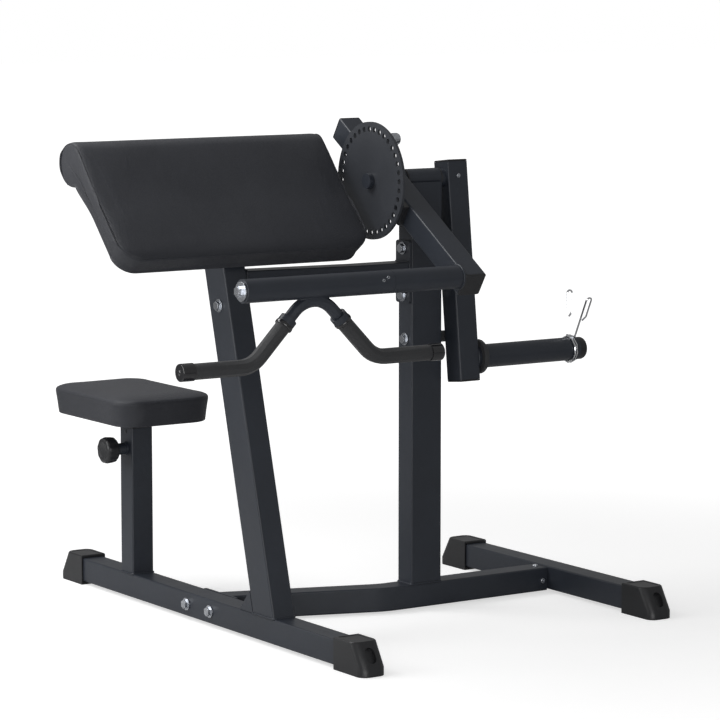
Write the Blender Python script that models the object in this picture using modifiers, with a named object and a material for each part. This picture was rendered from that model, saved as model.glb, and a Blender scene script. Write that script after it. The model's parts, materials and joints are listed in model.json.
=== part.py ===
"""Plate loaded biceps curl machine, one object for each piece, at its real size in metres.

The person sits at +Y and looks along -Y over the arm pad. Z is up, and the floor is Z = 0. The
plates go on a sleeve at the +X side. Places are worked out from the rear post: its -X face is
X = 0 and its -Y face is Y = 0 while the pieces are laid out, and a root empty then carries the
whole machine so that the origin lies under the middle of it.
"""

from math import acos, ceil, cos, pi, radians, sin, tan

import bmesh
import bpy
from mathutils import Matrix, Vector

# Fits
GAP = 0.0003                    # between two pieces that touch, slide or turn on each other

# Square tube that the whole frame is welded from
TUBE = 0.0508
TUBE_WALL = 0.0025
TUBE_EDGE = 0.0035              # outer corner radius
DEEP_TUBE = 0.0762               # long side of the rear post and of the leaning post

# Rails on the floor, and the moulded caps that are their feet
FRONT_RAIL_X = -0.4127
FRONT_RAIL_NEAR = -0.479        # tips of the feet
FRONT_RAIL_FAR = 0.7265
REAR_RAIL_X = 0.381
REAR_RAIL_NEAR = -0.3625
REAR_RAIL_FAR = 0.402
RAIL_LIFT = 0.0071              # underside of the rails above the floor
FOOT_LENGTH = 0.100
FOOT_NOSE = 0.028               # run of the sloping nose
FOOT_BAND = 0.016               # upright band round the sole
FOOT_CORNER = 0.018             # corners of the nose, seen from above
FOOT_SIDE = 0.004               # wall beside the rail
FOOT_CROWN = 0.0065             # wall above the rail
FOOT_SOCKET = 0.055             # how far a rail goes in
FOOT_EDGE = 0.002
FOOT_POCKET_WIDTH = 0.021
FOOT_POCKET_HEIGHT = 0.033
FOOT_POCKET_DEPTH = 0.008
FOOT_INSET = 0.007              # margin of the sunk panel on the top
FOOT_INSET_DEPTH = 0.001

# Cross beam between the rails, bent in plan, with a bolted flange and a stub inside its rear end
BEAM_LIFT = 0.0041
BEAM_BEND_X = -0.055
BEAM_BEND = radians(18.8)
BEND_RADIUS = 0.15
BEAM_FLANGE_LENGTH = 0.132
FLANGE = 0.006                  # thickness of every bolted flange
FLANGE_EDGE = 0.006             # corner radius in outline
BEAM_BOLT_SPACING = 0.0925
STUB_LENGTH = 0.090
STUB_WALL = 0.003

# Bolts
BOLT_RADIUS = 0.005
BOLT_HEAD_FLATS = 0.017
BOLT_HEAD = 0.0065
BOLT_WASHER_RADIUS = 0.0135
NUT_WASHER_RADIUS = 0.011
BOLT_WASHER = 0.002

# Seat post, and the pull pin that holds the seat
SEAT_POST_Y = 0.4320
SEAT_POST_TOP = 0.371
LINER_LIP = 0.003
LINER_LENGTH = 0.070
STEM = 0.040
STEM_WALL = 0.002
STEM_EDGE = 0.0035
STEM_BOTTOM = 0.170
SEAT_PIN_Z = 0.3257
SEAT_PIN_RADIUS = 0.006
SEAT_PIN_TRAVEL = 0.010
SEAT_HOLE_PLAY = 0.001          # radial play of the pin in the holes of the stem
SEAT_HOLES = 7
SEAT_HOLE_PITCH = 0.020
PIN_BOSS_RADIUS = 0.015
PIN_BOSS_BASE = 0.005
PIN_BOSS_LENGTH = 0.024
PIN_NECK_RADIUS = 0.0125
SEAT_KNOB_RADIUS = 0.027
SEAT_KNOB_LENGTH = 0.0295
SEAT_KNOB_TAPER = 0.0065        # at its back, where it is hollow and slides over the boss
SEAT_KNOB_END = 0.0565          # outer face of the knob, from the face of the post

# Seat
SEAT_X = -0.417
SEAT_Y = 0.444
SEAT_WIDTH = 0.2335
SEAT_DEPTH = 0.340
SEAT_CORNER = 0.058
SEAT_CORNER_LEAST = 0.018       # corner radius of the innermost outlines
SEAT_BOTTOM = 0.3915
SEAT_SEAM = 0.4435
SEAT_CROWN = 0.0125             # rise of the middle above the seam
SEAT_DRAW = 0.006               # how far the sides pull in below the seam
SEAT_WALL = ((1, 0), (1.1, 0.35), (0.45, 0.8), (0, 1))              # share of the draw, of the height
SEAT_DOME = ((0.08, 0.3), (0.3, 0.6), (0.7, 0.85), (1.3, 1))        # share of the corner, of the crown
SEAT_BOARD = 0.012
SEAT_BOARD_INSET = 0.016
SEAT_PLATE = 0.004
SEAT_PLATE_SIDE = 0.130

# Leaning post under the arm pad
LEAN = radians(15.0)
LEAN_FOOT_Y = -0.1565           # its -Y face at the top of the rail
GUSSET = 0.006
GUSSET_REACH = 0.050
GUSSET_HEIGHT = 0.044

# Arm pad: a roll at the person's side and a slab that slopes down from it
PAD_X = -0.4105
PAD_WIDTH = 0.580
PAD_SLOPE = radians(46.7)
ROLL_Y = 0.186
ROLL_Z = 0.9514
ROLL_RADIUS = 0.0465
ROLL_EDGE = 0.004
ROLL_SIDES = 32
PAD_TOP = 0.0404                # face of the slab above the middle of the roll
PAD_THICK = 0.054
PAD_LENGTH = 0.2803             # from the middle of the roll to the front seam
PAD_CORNER = 0.050
PAD_DRAW = 0.006
PAD_CROWN = 0.0022
PAD_SEAM = 0.0035               # below the face of the slab
PAD_BACK = 0.008                # how far the slab runs on behind the middle of the roll
PAD_WALL = ((1, 0), (0.75, 0.25), (0.3, 0.6))       # share of the draw, of the thickness
PAD_BOARD = 0.009
PAD_BOARD_INSET = 0.026
PAD_BOARD_START = 0.056         # from the middle of the roll
PAD_PLATE = 0.005
PAD_PLATE_WIDTH = 0.240
PAD_PLATE_LENGTH = 0.170

# Upper beam, bent in plan
UPPER_Z = 0.708
UPPER_BEND_X = -0.130
UPPER_BEND = radians(6.9)
UPPER_FLANGE_Z = 0.7125
UPPER_FLANGE_LENGTH = 0.130
UPPER_BOLT_SPACING = 0.0975

# Rear post, pivot and bearing
REAR_POST_TOP = 0.898
REAR_POST_WALL = 0.003
PIVOT_Z = 0.904
SHAFT_RADIUS = 0.0125
HOUSING_RADIUS = 0.021
HOUSING_WALL = 0.004
HOUSING_PROUD = 0.002           # past each side of the post
BUSH_FLANGE = 0.0025
BUSH_LENGTH = 0.016

# Stop of the swing
STOP_Z = 0.571
STOP_RADIUS = 0.012
STOP_LENGTH = 0.045

# Weight arm and plate sleeve
ARM_GAP = 0.0150                # from the post to the arm
ARM_ABOVE = 0.032               # past the pivot
ARM_BELOW = 0.4236
ARM_HUB_RADIUS = 0.019
SLEEVE_DOWN = 0.3782             # along the arm from the pivot
SLEEVE_RADIUS = 0.025
SLEEVE_WALL = 0.003
SLEEVE_LENGTH = 0.2680
SLEEVE_CAP_RADIUS = 0.024
SLEEVE_CAP = 0.0190
SLEEVE_CAP_EDGE = 0.006
SLEEVE_RING_START = 0.0078      # from the arm
SLEEVE_RING = 0.0110
SLEEVE_RING_RADIUS = 0.0365
SLEEVE_RING_EDGE = 0.002

# End plugs of the square tubes
PLUG_HEAD = 0.004
PLUG_TAIL = 0.012
PLUG_DOME = 0.0015

# Index disc
DISC = 0.006
DISC_RADIUS = 0.121
DISC_HOLES = 36
DISC_HOLE_CIRCLE = 0.106
DISC_HOLE_RADIUS = 0.00575
DISC_FIRST_HOLE = radians(8)
DISC_GAP = 0.013                # from the disc to the lever
DISC_BOSS_RADIUS = 0.016
DISC_BOSS = 0.010

# Lever
LEVER_GAP = 0.0176               # from the lever to the post
LEVER_TURN = radians(32.6)
LEVER_ABOVE = 0.184
LEVER_BELOW = 0.353
LEVER_HUB_RADIUS = 0.018
GUIDE_DOWN = 0.114
GUIDE_WIDTH = 0.020
GUIDE_DEPTH = 0.046

# Index pin, in the hole of the disc that the lever is set to
INDEX_HOLE = 4                  # counted from the first
INDEX_PIN_RADIUS = 0.005
INDEX_PIN_TRAVEL = 0.014
BARREL_RADIUS = 0.010
BARREL_PROUD = 0.006            # past each side of the lever
INDEX_KNOB_RADIUS = 0.013
INDEX_KNOB_LENGTH = 0.028
INDEX_KNOB_TAPER = 0.006
KNOB_EDGE = 0.004

# Handle axle and the sleeve that turns on it
AXLE_DOWN = 0.336               # along the lever from the pivot
AXLE_RISE = 0.0065              # above the middle of the lever
STUB_RADIUS = 0.0234
AXLE_STUB = 0.1641
AXLE_RADIUS = 0.017
AXLE_BORE = 0.014
HANDLE_SLEEVE_LENGTH = 0.3387
HANDLE_SLEEVE_RELIEF = 0.021
HANDLE_SLEEVE_LAND = 0.030
AXLE_WASHER_RADIUS = 0.0198
AXLE_WASHER = 0.003
AXLE_HEAD = 0.009
AXLE_HEAD_FLATS = 0.019
AXLE_PLUG = 0.020

# Curl bar
BAR_RADIUS = 0.0125
BAR_DROP = 0.0273               # top of the arch below the middle of the axle
BAR_SHIFT = -0.0083             # middle of the bar, from the middle of the sleeve
BAR_LEG = radians(46)
BAR_ARCH_RADIUS = 0.0593
BAR_BEND_RADIUS = 0.060
BAR_FLAT_DROP = 0.1466
BAR_HALF = 0.2963
COLLAR_PLACE = 0.0605           # from the middle of the bar, across
COLLAR_RADIUS = 0.0175
COLLAR_LENGTH = 0.014
GRIP_RADIUS = 0.0160
BAR_CAP_RADIUS = 0.0176
BAR_CAP_LENGTH = 0.028
BAR_CAP_END = 0.004
BAR_CAP_EDGE = 0.0015
BAR_STEPS = 6                   # in each of its bends

# Spring clip on the plate sleeve
CLIP_PLACE = 0.2475              # its first turn, from the arm
CLIP_WIRE_RADIUS = 0.0021
CLIP_PITCH = 0.0054
CLIP_POINTS = 10                # points in a turn
CLIP_TURNS = 2
CLIP_SPREAD = radians(26)       # between the two handles
CLIP_REACH = 0.126              # of a handle, from the middle of the sleeve
CLIP_HAIRPIN = 0.0065           # radius of a handle's end
CLIP_RETURN = 0.040             # length of its returning leg
CLIP_ROOT = 0.006               # radius where a turn becomes a handle
CLIP_STEPS = 6                  # in the end of a handle

# Facets
ROUND = 24                      # sides of a turned piece
SMALL_ROUND = 12
CORNER_STEPS = 3

# Colour, roughness and metallic value of each finish
FINISHES = {
    "black_powder_coat": ((0.040, 0.043, 0.050), 0.42, 0.0),
    "charcoal_vinyl": ((0.046, 0.048, 0.054), 0.50, 0.0),
    "black_plastic": ((0.022, 0.023, 0.026), 0.45, 0.0),
    "gloss_black_cap": ((0.020, 0.020, 0.022), 0.12, 0.0),
    "black_rubber": ((0.030, 0.031, 0.034), 0.75, 0.0),
    "zinc_plate": ((0.62, 0.63, 0.66), 0.32, 1.0),
    "bright_chrome": ((0.80, 0.81, 0.83), 0.10, 1.0),
    "plywood": ((0.42, 0.29, 0.17), 0.70, 0.0),
    "bearing_plastic": ((0.030, 0.030, 0.032), 0.40, 0.0),
}

X_AXIS = Vector((1, 0, 0))
Y_AXIS = Vector((0, 1, 0))
Z_AXIS = Vector((0, 0, 1))

# Places that follow from the sizes
POST_MIDDLE = TUBE / 2
RAIL_Z = RAIL_LIFT + TUBE / 2
RAIL_TOP = RAIL_LIFT + TUBE
BEAM_Z = BEAM_LIFT + TUBE / 2
PIVOT = Vector((0, POST_MIDDLE, PIVOT_Z))
ARM_X = DEEP_TUBE + ARM_GAP
ARM_TILT = pi / 2 - acos((TUBE / 2 + STOP_RADIUS + GAP) / (PIVOT_Z - STOP_Z))
ARM_DIRECTION = Vector((0, -sin(ARM_TILT), -cos(ARM_TILT)))
SLEEVE_X = ARM_X + TUBE + GAP
SLEEVE_CENTRE = Vector((SLEEVE_X, PIVOT.y, PIVOT.z)) + ARM_DIRECTION * SLEEVE_DOWN
LEVER_X = -LEVER_GAP - TUBE
DISC_X = LEVER_X - DISC_GAP - DISC
LEVER_DIRECTION = Vector((0, cos(LEVER_TURN), sin(LEVER_TURN)))
LEVER_NORMAL = Vector((0, -sin(LEVER_TURN), cos(LEVER_TURN)))
AXLE = Vector((LEVER_X, PIVOT.y, PIVOT.z)) - LEVER_DIRECTION * AXLE_DOWN + LEVER_NORMAL * AXLE_RISE
HANDLE_SLEEVE_X = LEVER_X - AXLE_STUB - GAP
BAR_X = HANDLE_SLEEVE_X - HANDLE_SLEEVE_LENGTH / 2 + BAR_SHIFT
INDEX_ANGLE = DISC_FIRST_HOLE + INDEX_HOLE * 2 * pi / DISC_HOLES
INDEX_PIN = PIVOT + DISC_HOLE_CIRCLE * Vector((0, cos(INDEX_ANGLE), sin(INDEX_ANGLE)))
SEAT_PIN = Vector((FRONT_RAIL_X - TUBE / 2, SEAT_POST_Y, SEAT_PIN_Z))
LEAN_DIRECTION = Vector((0, sin(LEAN), cos(LEAN)))
LEAN_FACE = Vector((0, -cos(LEAN), sin(LEAN)))
LEAN_FOOT = Vector((FRONT_RAIL_X, LEAN_FOOT_Y, RAIL_TOP)) - LEAN_FACE * DEEP_TUBE / 2
PAD_DOWN = Vector((0, -cos(PAD_SLOPE), -sin(PAD_SLOPE)))
PAD_OUT = Vector((0, -sin(PAD_SLOPE), cos(PAD_SLOPE)))
ROLL = Vector((PAD_X, ROLL_Y, ROLL_Z))
PAD_UNDER = PAD_TOP - PAD_THICK

JOINTS = {
    "frame": Vector((0, 0, 0)),
    "seat": Vector((FRONT_RAIL_X, SEAT_POST_Y, SEAT_POST_TOP)),
    "seat_pin": SEAT_PIN,
    "swing": PIVOT,
    "lever": PIVOT,
    "index_pin": INDEX_PIN,
    "handle": AXLE,
    "spring_clip": SLEEVE_CENTRE,
}


def clear_scene():
    for obj in list(bpy.data.objects):
        bpy.data.objects.remove(obj, do_unlink=True)
    for group in list(bpy.data.collections):
        bpy.data.collections.remove(group)


def collection(name):
    group = bpy.data.collections.get(name)
    if group is None:
        group = bpy.data.collections.new(name)
        bpy.context.scene.collection.children.link(group)
    return group


def finish_material(name):
    material = bpy.data.materials.get(name)
    if material is None:
        colour, roughness, metallic = FINISHES[name]
        material = bpy.data.materials.new(name)
        material.use_nodes = True
        shader = material.node_tree.nodes["Principled BSDF"]
        shader.inputs["Base Color"].default_value = (*colour, 1)
        shader.inputs["Roughness"].default_value = roughness
        shader.inputs["Metallic"].default_value = metallic
        material.diffuse_color = (*colour, 1)
    return material


def place_bodies():
    """Make the root empty and, on it, one empty on each joint."""
    left = BAR_X - BAR_HALF - BAR_CAP_END
    right = SLEEVE_X + SLEEVE_LENGTH + GAP + SLEEVE_CAP
    group = collection("biceps_triceps_machine")
    root = bpy.data.objects.new("machine_root", None)
    root.location = (-(left + right) / 2, -(FRONT_RAIL_NEAR + FRONT_RAIL_FAR) / 2, 0)
    group.objects.link(root)
    for name, joint in JOINTS.items():
        empty = bpy.data.objects.new(name + "_joint", None)
        empty.location = joint
        empty.parent = root
        group.objects.link(empty)


def attach(obj, body, matrix, group):
    """Place an object that was laid out in machine space, on the empty of its body."""
    group.objects.link(obj)
    obj.parent = bpy.data.objects[body + "_joint"]
    obj.matrix_basis = Matrix.Translation(-JOINTS[body]) @ matrix


def piece(name, mesh, matrix, finish, body="frame"):
    """Add one sub-part of the machine."""
    obj = bpy.data.objects.new(name, mesh)
    obj.data.materials.append(finish_material(finish))
    attach(obj, body, matrix, collection("biceps_triceps_machine"))
    return obj


def helper(name, mesh, matrix, body):
    """Add a guide for a Boolean, which isn't part of the machine."""
    obj = bpy.data.objects.new(name, mesh)
    attach(obj, body, matrix, collection("cutters"))
    obj.hide_render = True
    obj.display_type = "WIRE"
    return obj


def combine(obj, operation, mesh, matrix, body="frame"):
    """Cut, join or trim a piece with a mesh, by a Boolean modifier."""
    modifier = obj.modifiers.new(operation.lower(), "BOOLEAN")
    modifier.operation = operation
    modifier.solver = "EXACT"
    modifier.object = helper(f"{obj.name}_{operation.lower()}", mesh, matrix, body)
    return obj


def round_edges(obj, width, segments=2, angle=radians(30)):
    bevel = obj.modifiers.new("bevel", "BEVEL")
    bevel.width = width
    bevel.segments = segments
    bevel.limit_method = "ANGLE"
    bevel.angle_limit = angle


def smooth(mesh):
    mesh.shade_smooth()
    mesh.set_sharp_from_angle(angle=radians(35))
    return mesh


def spread(origin, x, y):
    """Matrix at origin with local X and Y along x and y."""
    z = x.cross(y)
    return Matrix.Translation(origin) @ Matrix((x, y, z)).transposed().to_4x4()


def along(origin, z, x):
    """Matrix at origin with local Z along z and local X along x."""
    return spread(origin, x, z.cross(x))


def arc(centre_x, centre_y, radius, start, end, steps):
    turn = [start + (end - start) * i / steps for i in range(steps + 1)]
    return [(centre_x + radius * cos(a), centre_y + radius * sin(a)) for a in turn]


def circle(centre_x, centre_y, radius, steps):
    return arc(centre_x, centre_y, radius, 0, 2 * pi, steps)[:-1]


def rounded_rectangle(width, height, radius, steps=CORNER_STEPS):
    x, y = width / 2 - radius, height / 2 - radius
    quarter = pi / 2
    corners = ((x, y), (-x, y), (-x, -y), (x, -y))
    return [point for i, (cx, cy) in enumerate(corners)
            for point in arc(cx, cy, radius, i * quarter, (i + 1) * quarter, steps)]


def rounded_corner(before, corner, after, radius, steps=CORNER_STEPS):
    """Points of the fillet that replaces a corner between two straight lines."""
    corner = Vector(corner)
    back = (Vector(before) - corner).normalized()
    ahead = (Vector(after) - corner).normalized()
    half = back.angle(ahead) / 2
    middle = corner + (back + ahead).normalized() * radius / sin(half)
    first = corner + back * radius / tan(half) - middle
    last = corner + ahead * radius / tan(half) - middle
    swing = pi - 2 * half
    return [middle + (first * sin(swing * (1 - i / steps)) + last * sin(swing * i / steps)) / sin(swing)
            for i in range(steps + 1)]


def curve_mesh(curve):
    """Mesh of a curve with its caps welded on."""
    holder = bpy.data.objects.new(curve.name, curve)
    bpy.context.scene.collection.objects.link(holder)
    depsgraph = bpy.context.evaluated_depsgraph_get()
    mesh = bpy.data.meshes.new_from_object(holder.evaluated_get(depsgraph))
    bpy.data.objects.remove(holder, do_unlink=True)
    bm = bmesh.new()
    bm.from_mesh(mesh)
    bmesh.ops.remove_doubles(bm, verts=bm.verts, dist=1e-6)
    bmesh.ops.recalc_face_normals(bm, faces=bm.faces)
    bm.to_mesh(mesh)
    bm.free()
    return mesh


def poly_spline(curve, points, cyclic):
    spline = curve.splines.new("POLY")
    spline.points.add(len(points) - 1)
    for target, point in zip(spline.points, points):
        target.co = (*point, 1) if len(point) == 3 else (*point, 0, 1)
    spline.use_cyclic_u = cyclic


def outline_mesh(name, loops, depth):
    """Flat outline with holes, given as loops of points, extruded to a depth about its plane."""
    curve = bpy.data.curves.new(name, "CURVE")
    curve.dimensions = "2D"
    curve.fill_mode = "BOTH"
    curve.extrude = depth / 2
    for loop in loops:
        poly_spline(curve, loop, True)
    return curve_mesh(curve)


def wire_mesh(name, points, radius, resolution=2, caps=True):
    """Round bar along a path."""
    curve = bpy.data.curves.new(name, "CURVE")
    curve.dimensions = "3D"
    curve.bevel_depth = radius
    curve.bevel_resolution = resolution
    curve.use_fill_caps = caps
    poly_spline(curve, points, False)
    return smooth(curve_mesh(curve))


def box_mesh(name, x, y, z):
    """Box between two limits along each axis."""
    mesh = bpy.data.meshes.new(name)
    bm = bmesh.new()
    size = Matrix.Diagonal((x[1] - x[0], y[1] - y[0], z[1] - z[0], 1))
    middle = Matrix.Translation(((x[0] + x[1]) / 2, (y[0] + y[1]) / 2, (z[0] + z[1]) / 2))
    bmesh.ops.create_cube(bm, size=1, matrix=middle @ size)
    bm.to_mesh(mesh)
    bm.free()
    return mesh


def rod_mesh(name, radius, start, end, segments=ROUND):
    """Cylinder on the local Z axis, from start to end."""
    mesh = bpy.data.meshes.new(name)
    bm = bmesh.new()
    bmesh.ops.create_cone(bm, cap_ends=True, segments=segments, radius1=radius, radius2=radius,
                          depth=end - start, matrix=Matrix.Translation((0, 0, (start + end) / 2)))
    bm.to_mesh(mesh)
    bm.free()
    return smooth(mesh)


def loft_mesh(name, rings):
    """Closed body through rings that hold the same number of points."""
    mesh = bpy.data.meshes.new(name)
    bm = bmesh.new()
    rows = [[bm.verts.new(point) for point in ring] for ring in rings]
    for low, high in zip(rows, rows[1:]):
        for i in range(len(low)):
            j = (i + 1) % len(low)
            bm.faces.new((low[i], low[j], high[j], high[i]))
    bm.faces.new(rows[0][::-1])
    bm.faces.new(rows[-1])
    bmesh.ops.recalc_face_normals(bm, faces=bm.faces)
    bm.to_mesh(mesh)
    bm.free()
    return smooth(mesh)


def turned(name, outer, bore, matrix, finish, body="frame", steps=ROUND):
    """Turned piece on the local Z axis.

    outer and bore list (place along Z, radius), the outer side from top to bottom. Without a
    bore the piece is solid.
    """
    points = [(radius, 0, z) for z, radius in outer]
    if bore:
        points += [(radius, 0, z) for z, radius in reversed(bore)]
    else:
        points = [(0, 0, outer[0][0])] + points + [(0, 0, outer[-1][0])]
    edges = [(i, i + 1) for i in range(len(points) - 1)]
    if bore:
        edges.append((len(points) - 1, 0))
    mesh = bpy.data.meshes.new(name)
    mesh.from_pydata(points, edges, [])
    obj = piece(name, mesh, matrix, finish, body)
    screw = obj.modifiers.new("screw", "SCREW")
    screw.axis = "Z"
    screw.steps = steps
    screw.render_steps = steps
    screw.use_merge_vertices = True
    screw.merge_threshold = 1e-5
    screw.use_smooth_shade = True
    return obj


def eased(end, radius, edge):
    """Outer profile of a turned piece at its upper end, with a rounded edge."""
    ease = edge * (1 - cos(pi / 4))
    return [(end, radius - edge), (end - ease, radius - ease), (end - edge, radius)]


def square_tube(name, start, end, side, finish="black_powder_coat", body="frame", width=TUBE,
                depth=TUBE, wall=TUBE_WALL, edge=TUBE_EDGE):
    """Straight rectangular tube, open at both ends, with its width along side."""
    axis = (end - start).normalized()
    section = [rounded_rectangle(width, depth, edge),
               rounded_rectangle(width - 2 * wall, depth - 2 * wall, edge - wall)]
    mesh = outline_mesh(name, section, (end - start).length)
    return piece(name, mesh, along((start + end) / 2, axis, side), finish, body)


def bent_square_tube(name, path):
    """Square tube along a level path, open at both ends."""
    section = bpy.data.curves.new(name + "_section", "CURVE")
    section.dimensions = "2D"
    section.fill_mode = "NONE"
    poly_spline(section, rounded_rectangle(TUBE, TUBE, TUBE_EDGE), True)
    guide = bpy.data.objects.new(name + "_section", section)
    curve = bpy.data.curves.new(name, "CURVE")
    curve.dimensions = "3D"
    curve.twist_mode = "Z_UP"
    curve.bevel_mode = "OBJECT"
    curve.bevel_object = guide
    poly_spline(curve, path, False)
    obj = piece(name, curve_mesh(curve), Matrix.Identity(4), "black_powder_coat")
    bpy.data.objects.remove(guide, do_unlink=True)
    shell = obj.modifiers.new("shell", "SOLIDIFY")
    shell.thickness = TUBE_WALL
    shell.offset = -1
    shell.use_even_offset = True
    return obj


def hexagon(flats, z):
    """Ring of 12 points round a hexagon, its corners and the middles of its sides."""
    return [(flats / 2 / (cos(pi / 6) if i % 2 == 0 else 1) * cos(i * pi / 6),
             flats / 2 / (cos(pi / 6) if i % 2 == 0 else 1) * sin(i * pi / 6), z) for i in range(12)]


def ring(radius, z, steps=SMALL_ROUND):
    return [(*point, z) for point in circle(0, 0, radius, steps)]


def bolt_mesh(name, grip):
    """Bolt along local Z: washer and head below Z = 0, nut and washer above the grip."""
    washer, head = BOLT_WASHER, BOLT_HEAD
    top = grip + 2 * GAP
    return loft_mesh(name, [
        hexagon(BOLT_HEAD_FLATS, -washer - head), hexagon(BOLT_HEAD_FLATS, -washer),
        ring(BOLT_WASHER_RADIUS, -washer), ring(BOLT_WASHER_RADIUS, 0),
        ring(BOLT_RADIUS, 0), ring(BOLT_RADIUS, top),
        ring(NUT_WASHER_RADIUS, top), ring(NUT_WASHER_RADIUS, top + washer),
        hexagon(BOLT_HEAD_FLATS, top + washer), hexagon(BOLT_HEAD_FLATS, top + washer + head)])


def through_bolt(name, head, grip, direction=X_AXIS):
    """Bolt whose washer lies on a face at head and grips what lies behind it."""
    start = head - direction * GAP
    return piece(name, bolt_mesh(name, grip), along(start, direction, Z_AXIS), "zinc_plate")


def bolt_holes(obj, places, length):
    """Holes along X through a piece, for bolts whose heads lie at places."""
    for place in places:
        mesh = rod_mesh(obj.name + "_hole", BOLT_RADIUS + GAP, -TUBE_WALL, length + TUBE_WALL, SMALL_ROUND)
        combine(obj, "DIFFERENCE", mesh, along(place, X_AXIS, Z_AXIS))


def plug(name, end, outward, side, body):
    """Moulded plug in the end of a square tube."""
    inner = TUBE - 2 * TUBE_WALL - 2 * GAP
    inner_edge = TUBE_EDGE - TUBE_WALL
    sections = [(inner, inner_edge, -PLUG_TAIL), (inner, inner_edge, GAP), (TUBE, TUBE_EDGE, GAP),
                (TUBE, TUBE_EDGE, PLUG_HEAD - PLUG_DOME), (TUBE - 2 * PLUG_DOME, TUBE_EDGE, PLUG_HEAD)]
    rings = [[(*point, z) for point in rounded_rectangle(size, size, edge)] for size, edge, z in sections]
    piece(name, loft_mesh(name, rings), along(end, outward, side), "black_plastic", body)


def rail(prefix, x, near, far):
    """A rail with its two feet."""
    inner = FOOT_LENGTH - FOOT_SOCKET + GAP
    start = Vector((x, near + inner, RAIL_Z))
    end = Vector((x, far - inner, RAIL_Z))
    foot(prefix + "_foot_near", Vector((x, near + FOOT_LENGTH, 0)), -Y_AXIS)
    foot(prefix + "_foot_far", Vector((x, far - FOOT_LENGTH, 0)), Y_AXIS)
    return square_tube(prefix + "_rail", start, end, X_AXIS)


def foot_ring(length, inset, z):
    """Level outline of a foot, square at the rail's side and rounded at the tip."""
    side = TUBE / 2 + FOOT_SIDE - inset
    radius = FOOT_CORNER - inset
    steps = 2 * CORNER_STEPS
    outline = [(inset, -side)] + arc(length - radius, radius - side, radius, -pi / 2, 0, steps)
    outline += arc(length - radius, side - radius, radius, 0, pi / 2, steps) + [(inset, side)]
    return [(*point, z) for point in outline]


def foot(name, inner_end, outward):
    """Moulded cap on a rail's end: a sleeve, a sloping nose, a sunk panel and an oval pocket."""
    top = RAIL_TOP + FOOT_CROWN
    shoulder = FOOT_LENGTH - FOOT_NOSE
    matrix = spread(inner_end, outward, Z_AXIS.cross(outward))
    sections = [(FOOT_LENGTH, 0, 0), (FOOT_LENGTH, 0, FOOT_BAND), (shoulder, 0, top - FOOT_EDGE),
                (shoulder - FOOT_EDGE, FOOT_EDGE, top)]
    rings = [foot_ring(*section) for section in sections]
    obj = piece(name, loft_mesh(name, rings), matrix, "black_plastic")
    side = TUBE / 2 + GAP
    socket = box_mesh(name + "_socket", (-FOOT_SOCKET, FOOT_SOCKET), (-side, side),
                      (RAIL_LIFT - GAP, RAIL_TOP + GAP))
    combine(obj, "DIFFERENCE", socket, matrix)
    panel = [foot_ring(shoulder - FOOT_INSET, FOOT_INSET, top + depth)
             for depth in (-FOOT_INSET_DEPTH, FOOT_INSET_DEPTH)]
    combine(obj, "DIFFERENCE", loft_mesh(name + "_panel", panel), matrix)
    chin = Vector((FOOT_LENGTH, 0, FOOT_BAND))
    brow = Vector((shoulder, 0, top - FOOT_EDGE))
    oval = rounded_rectangle(FOOT_POCKET_WIDTH, FOOT_POCKET_HEIGHT, FOOT_POCKET_WIDTH / 2 - GAP)
    pocket = outline_mesh(name + "_pocket", [oval], 2 * FOOT_POCKET_DEPTH)
    on_nose = spread((chin + brow) / 2, Y_AXIS, (brow - chin).normalized())
    combine(obj, "DIFFERENCE", pocket, matrix @ on_nose)


def bent_path(start_x, y, bend_x, bend, end_x, z):
    """Level path from start_x along -X, turned toward +Y at bend_x, up to end_x."""
    corner = Vector((bend_x, y, z))
    end = Vector((end_x, y + (bend_x - end_x) * tan(bend), z))
    start = Vector((start_x, y, z))
    return [start] + rounded_corner(start, corner, end, BEND_RADIUS, 2 * CORNER_STEPS) + [end]


def flange_mesh(name, width, length, spacing):
    """Plate with rounded corners and two bolt holes along its length, local Y."""
    holes = [circle(0, side * spacing / 2, BOLT_RADIUS + GAP, SMALL_ROUND) for side in (-1, 1)]
    return outline_mesh(name, [rounded_rectangle(width, length, FLANGE_EDGE)] + holes, FLANGE)


def trim_end(obj, x, direction):
    """Cut a beam off square to X, beyond x in a direction of 1 or -1."""
    reach = (x, x + direction * TUBE)
    mesh = box_mesh(obj.name + "_end", (min(reach), max(reach)), (-1, 1), (-1, 1))
    combine(obj, "DIFFERENCE", mesh, Matrix.Identity(4))


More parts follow.
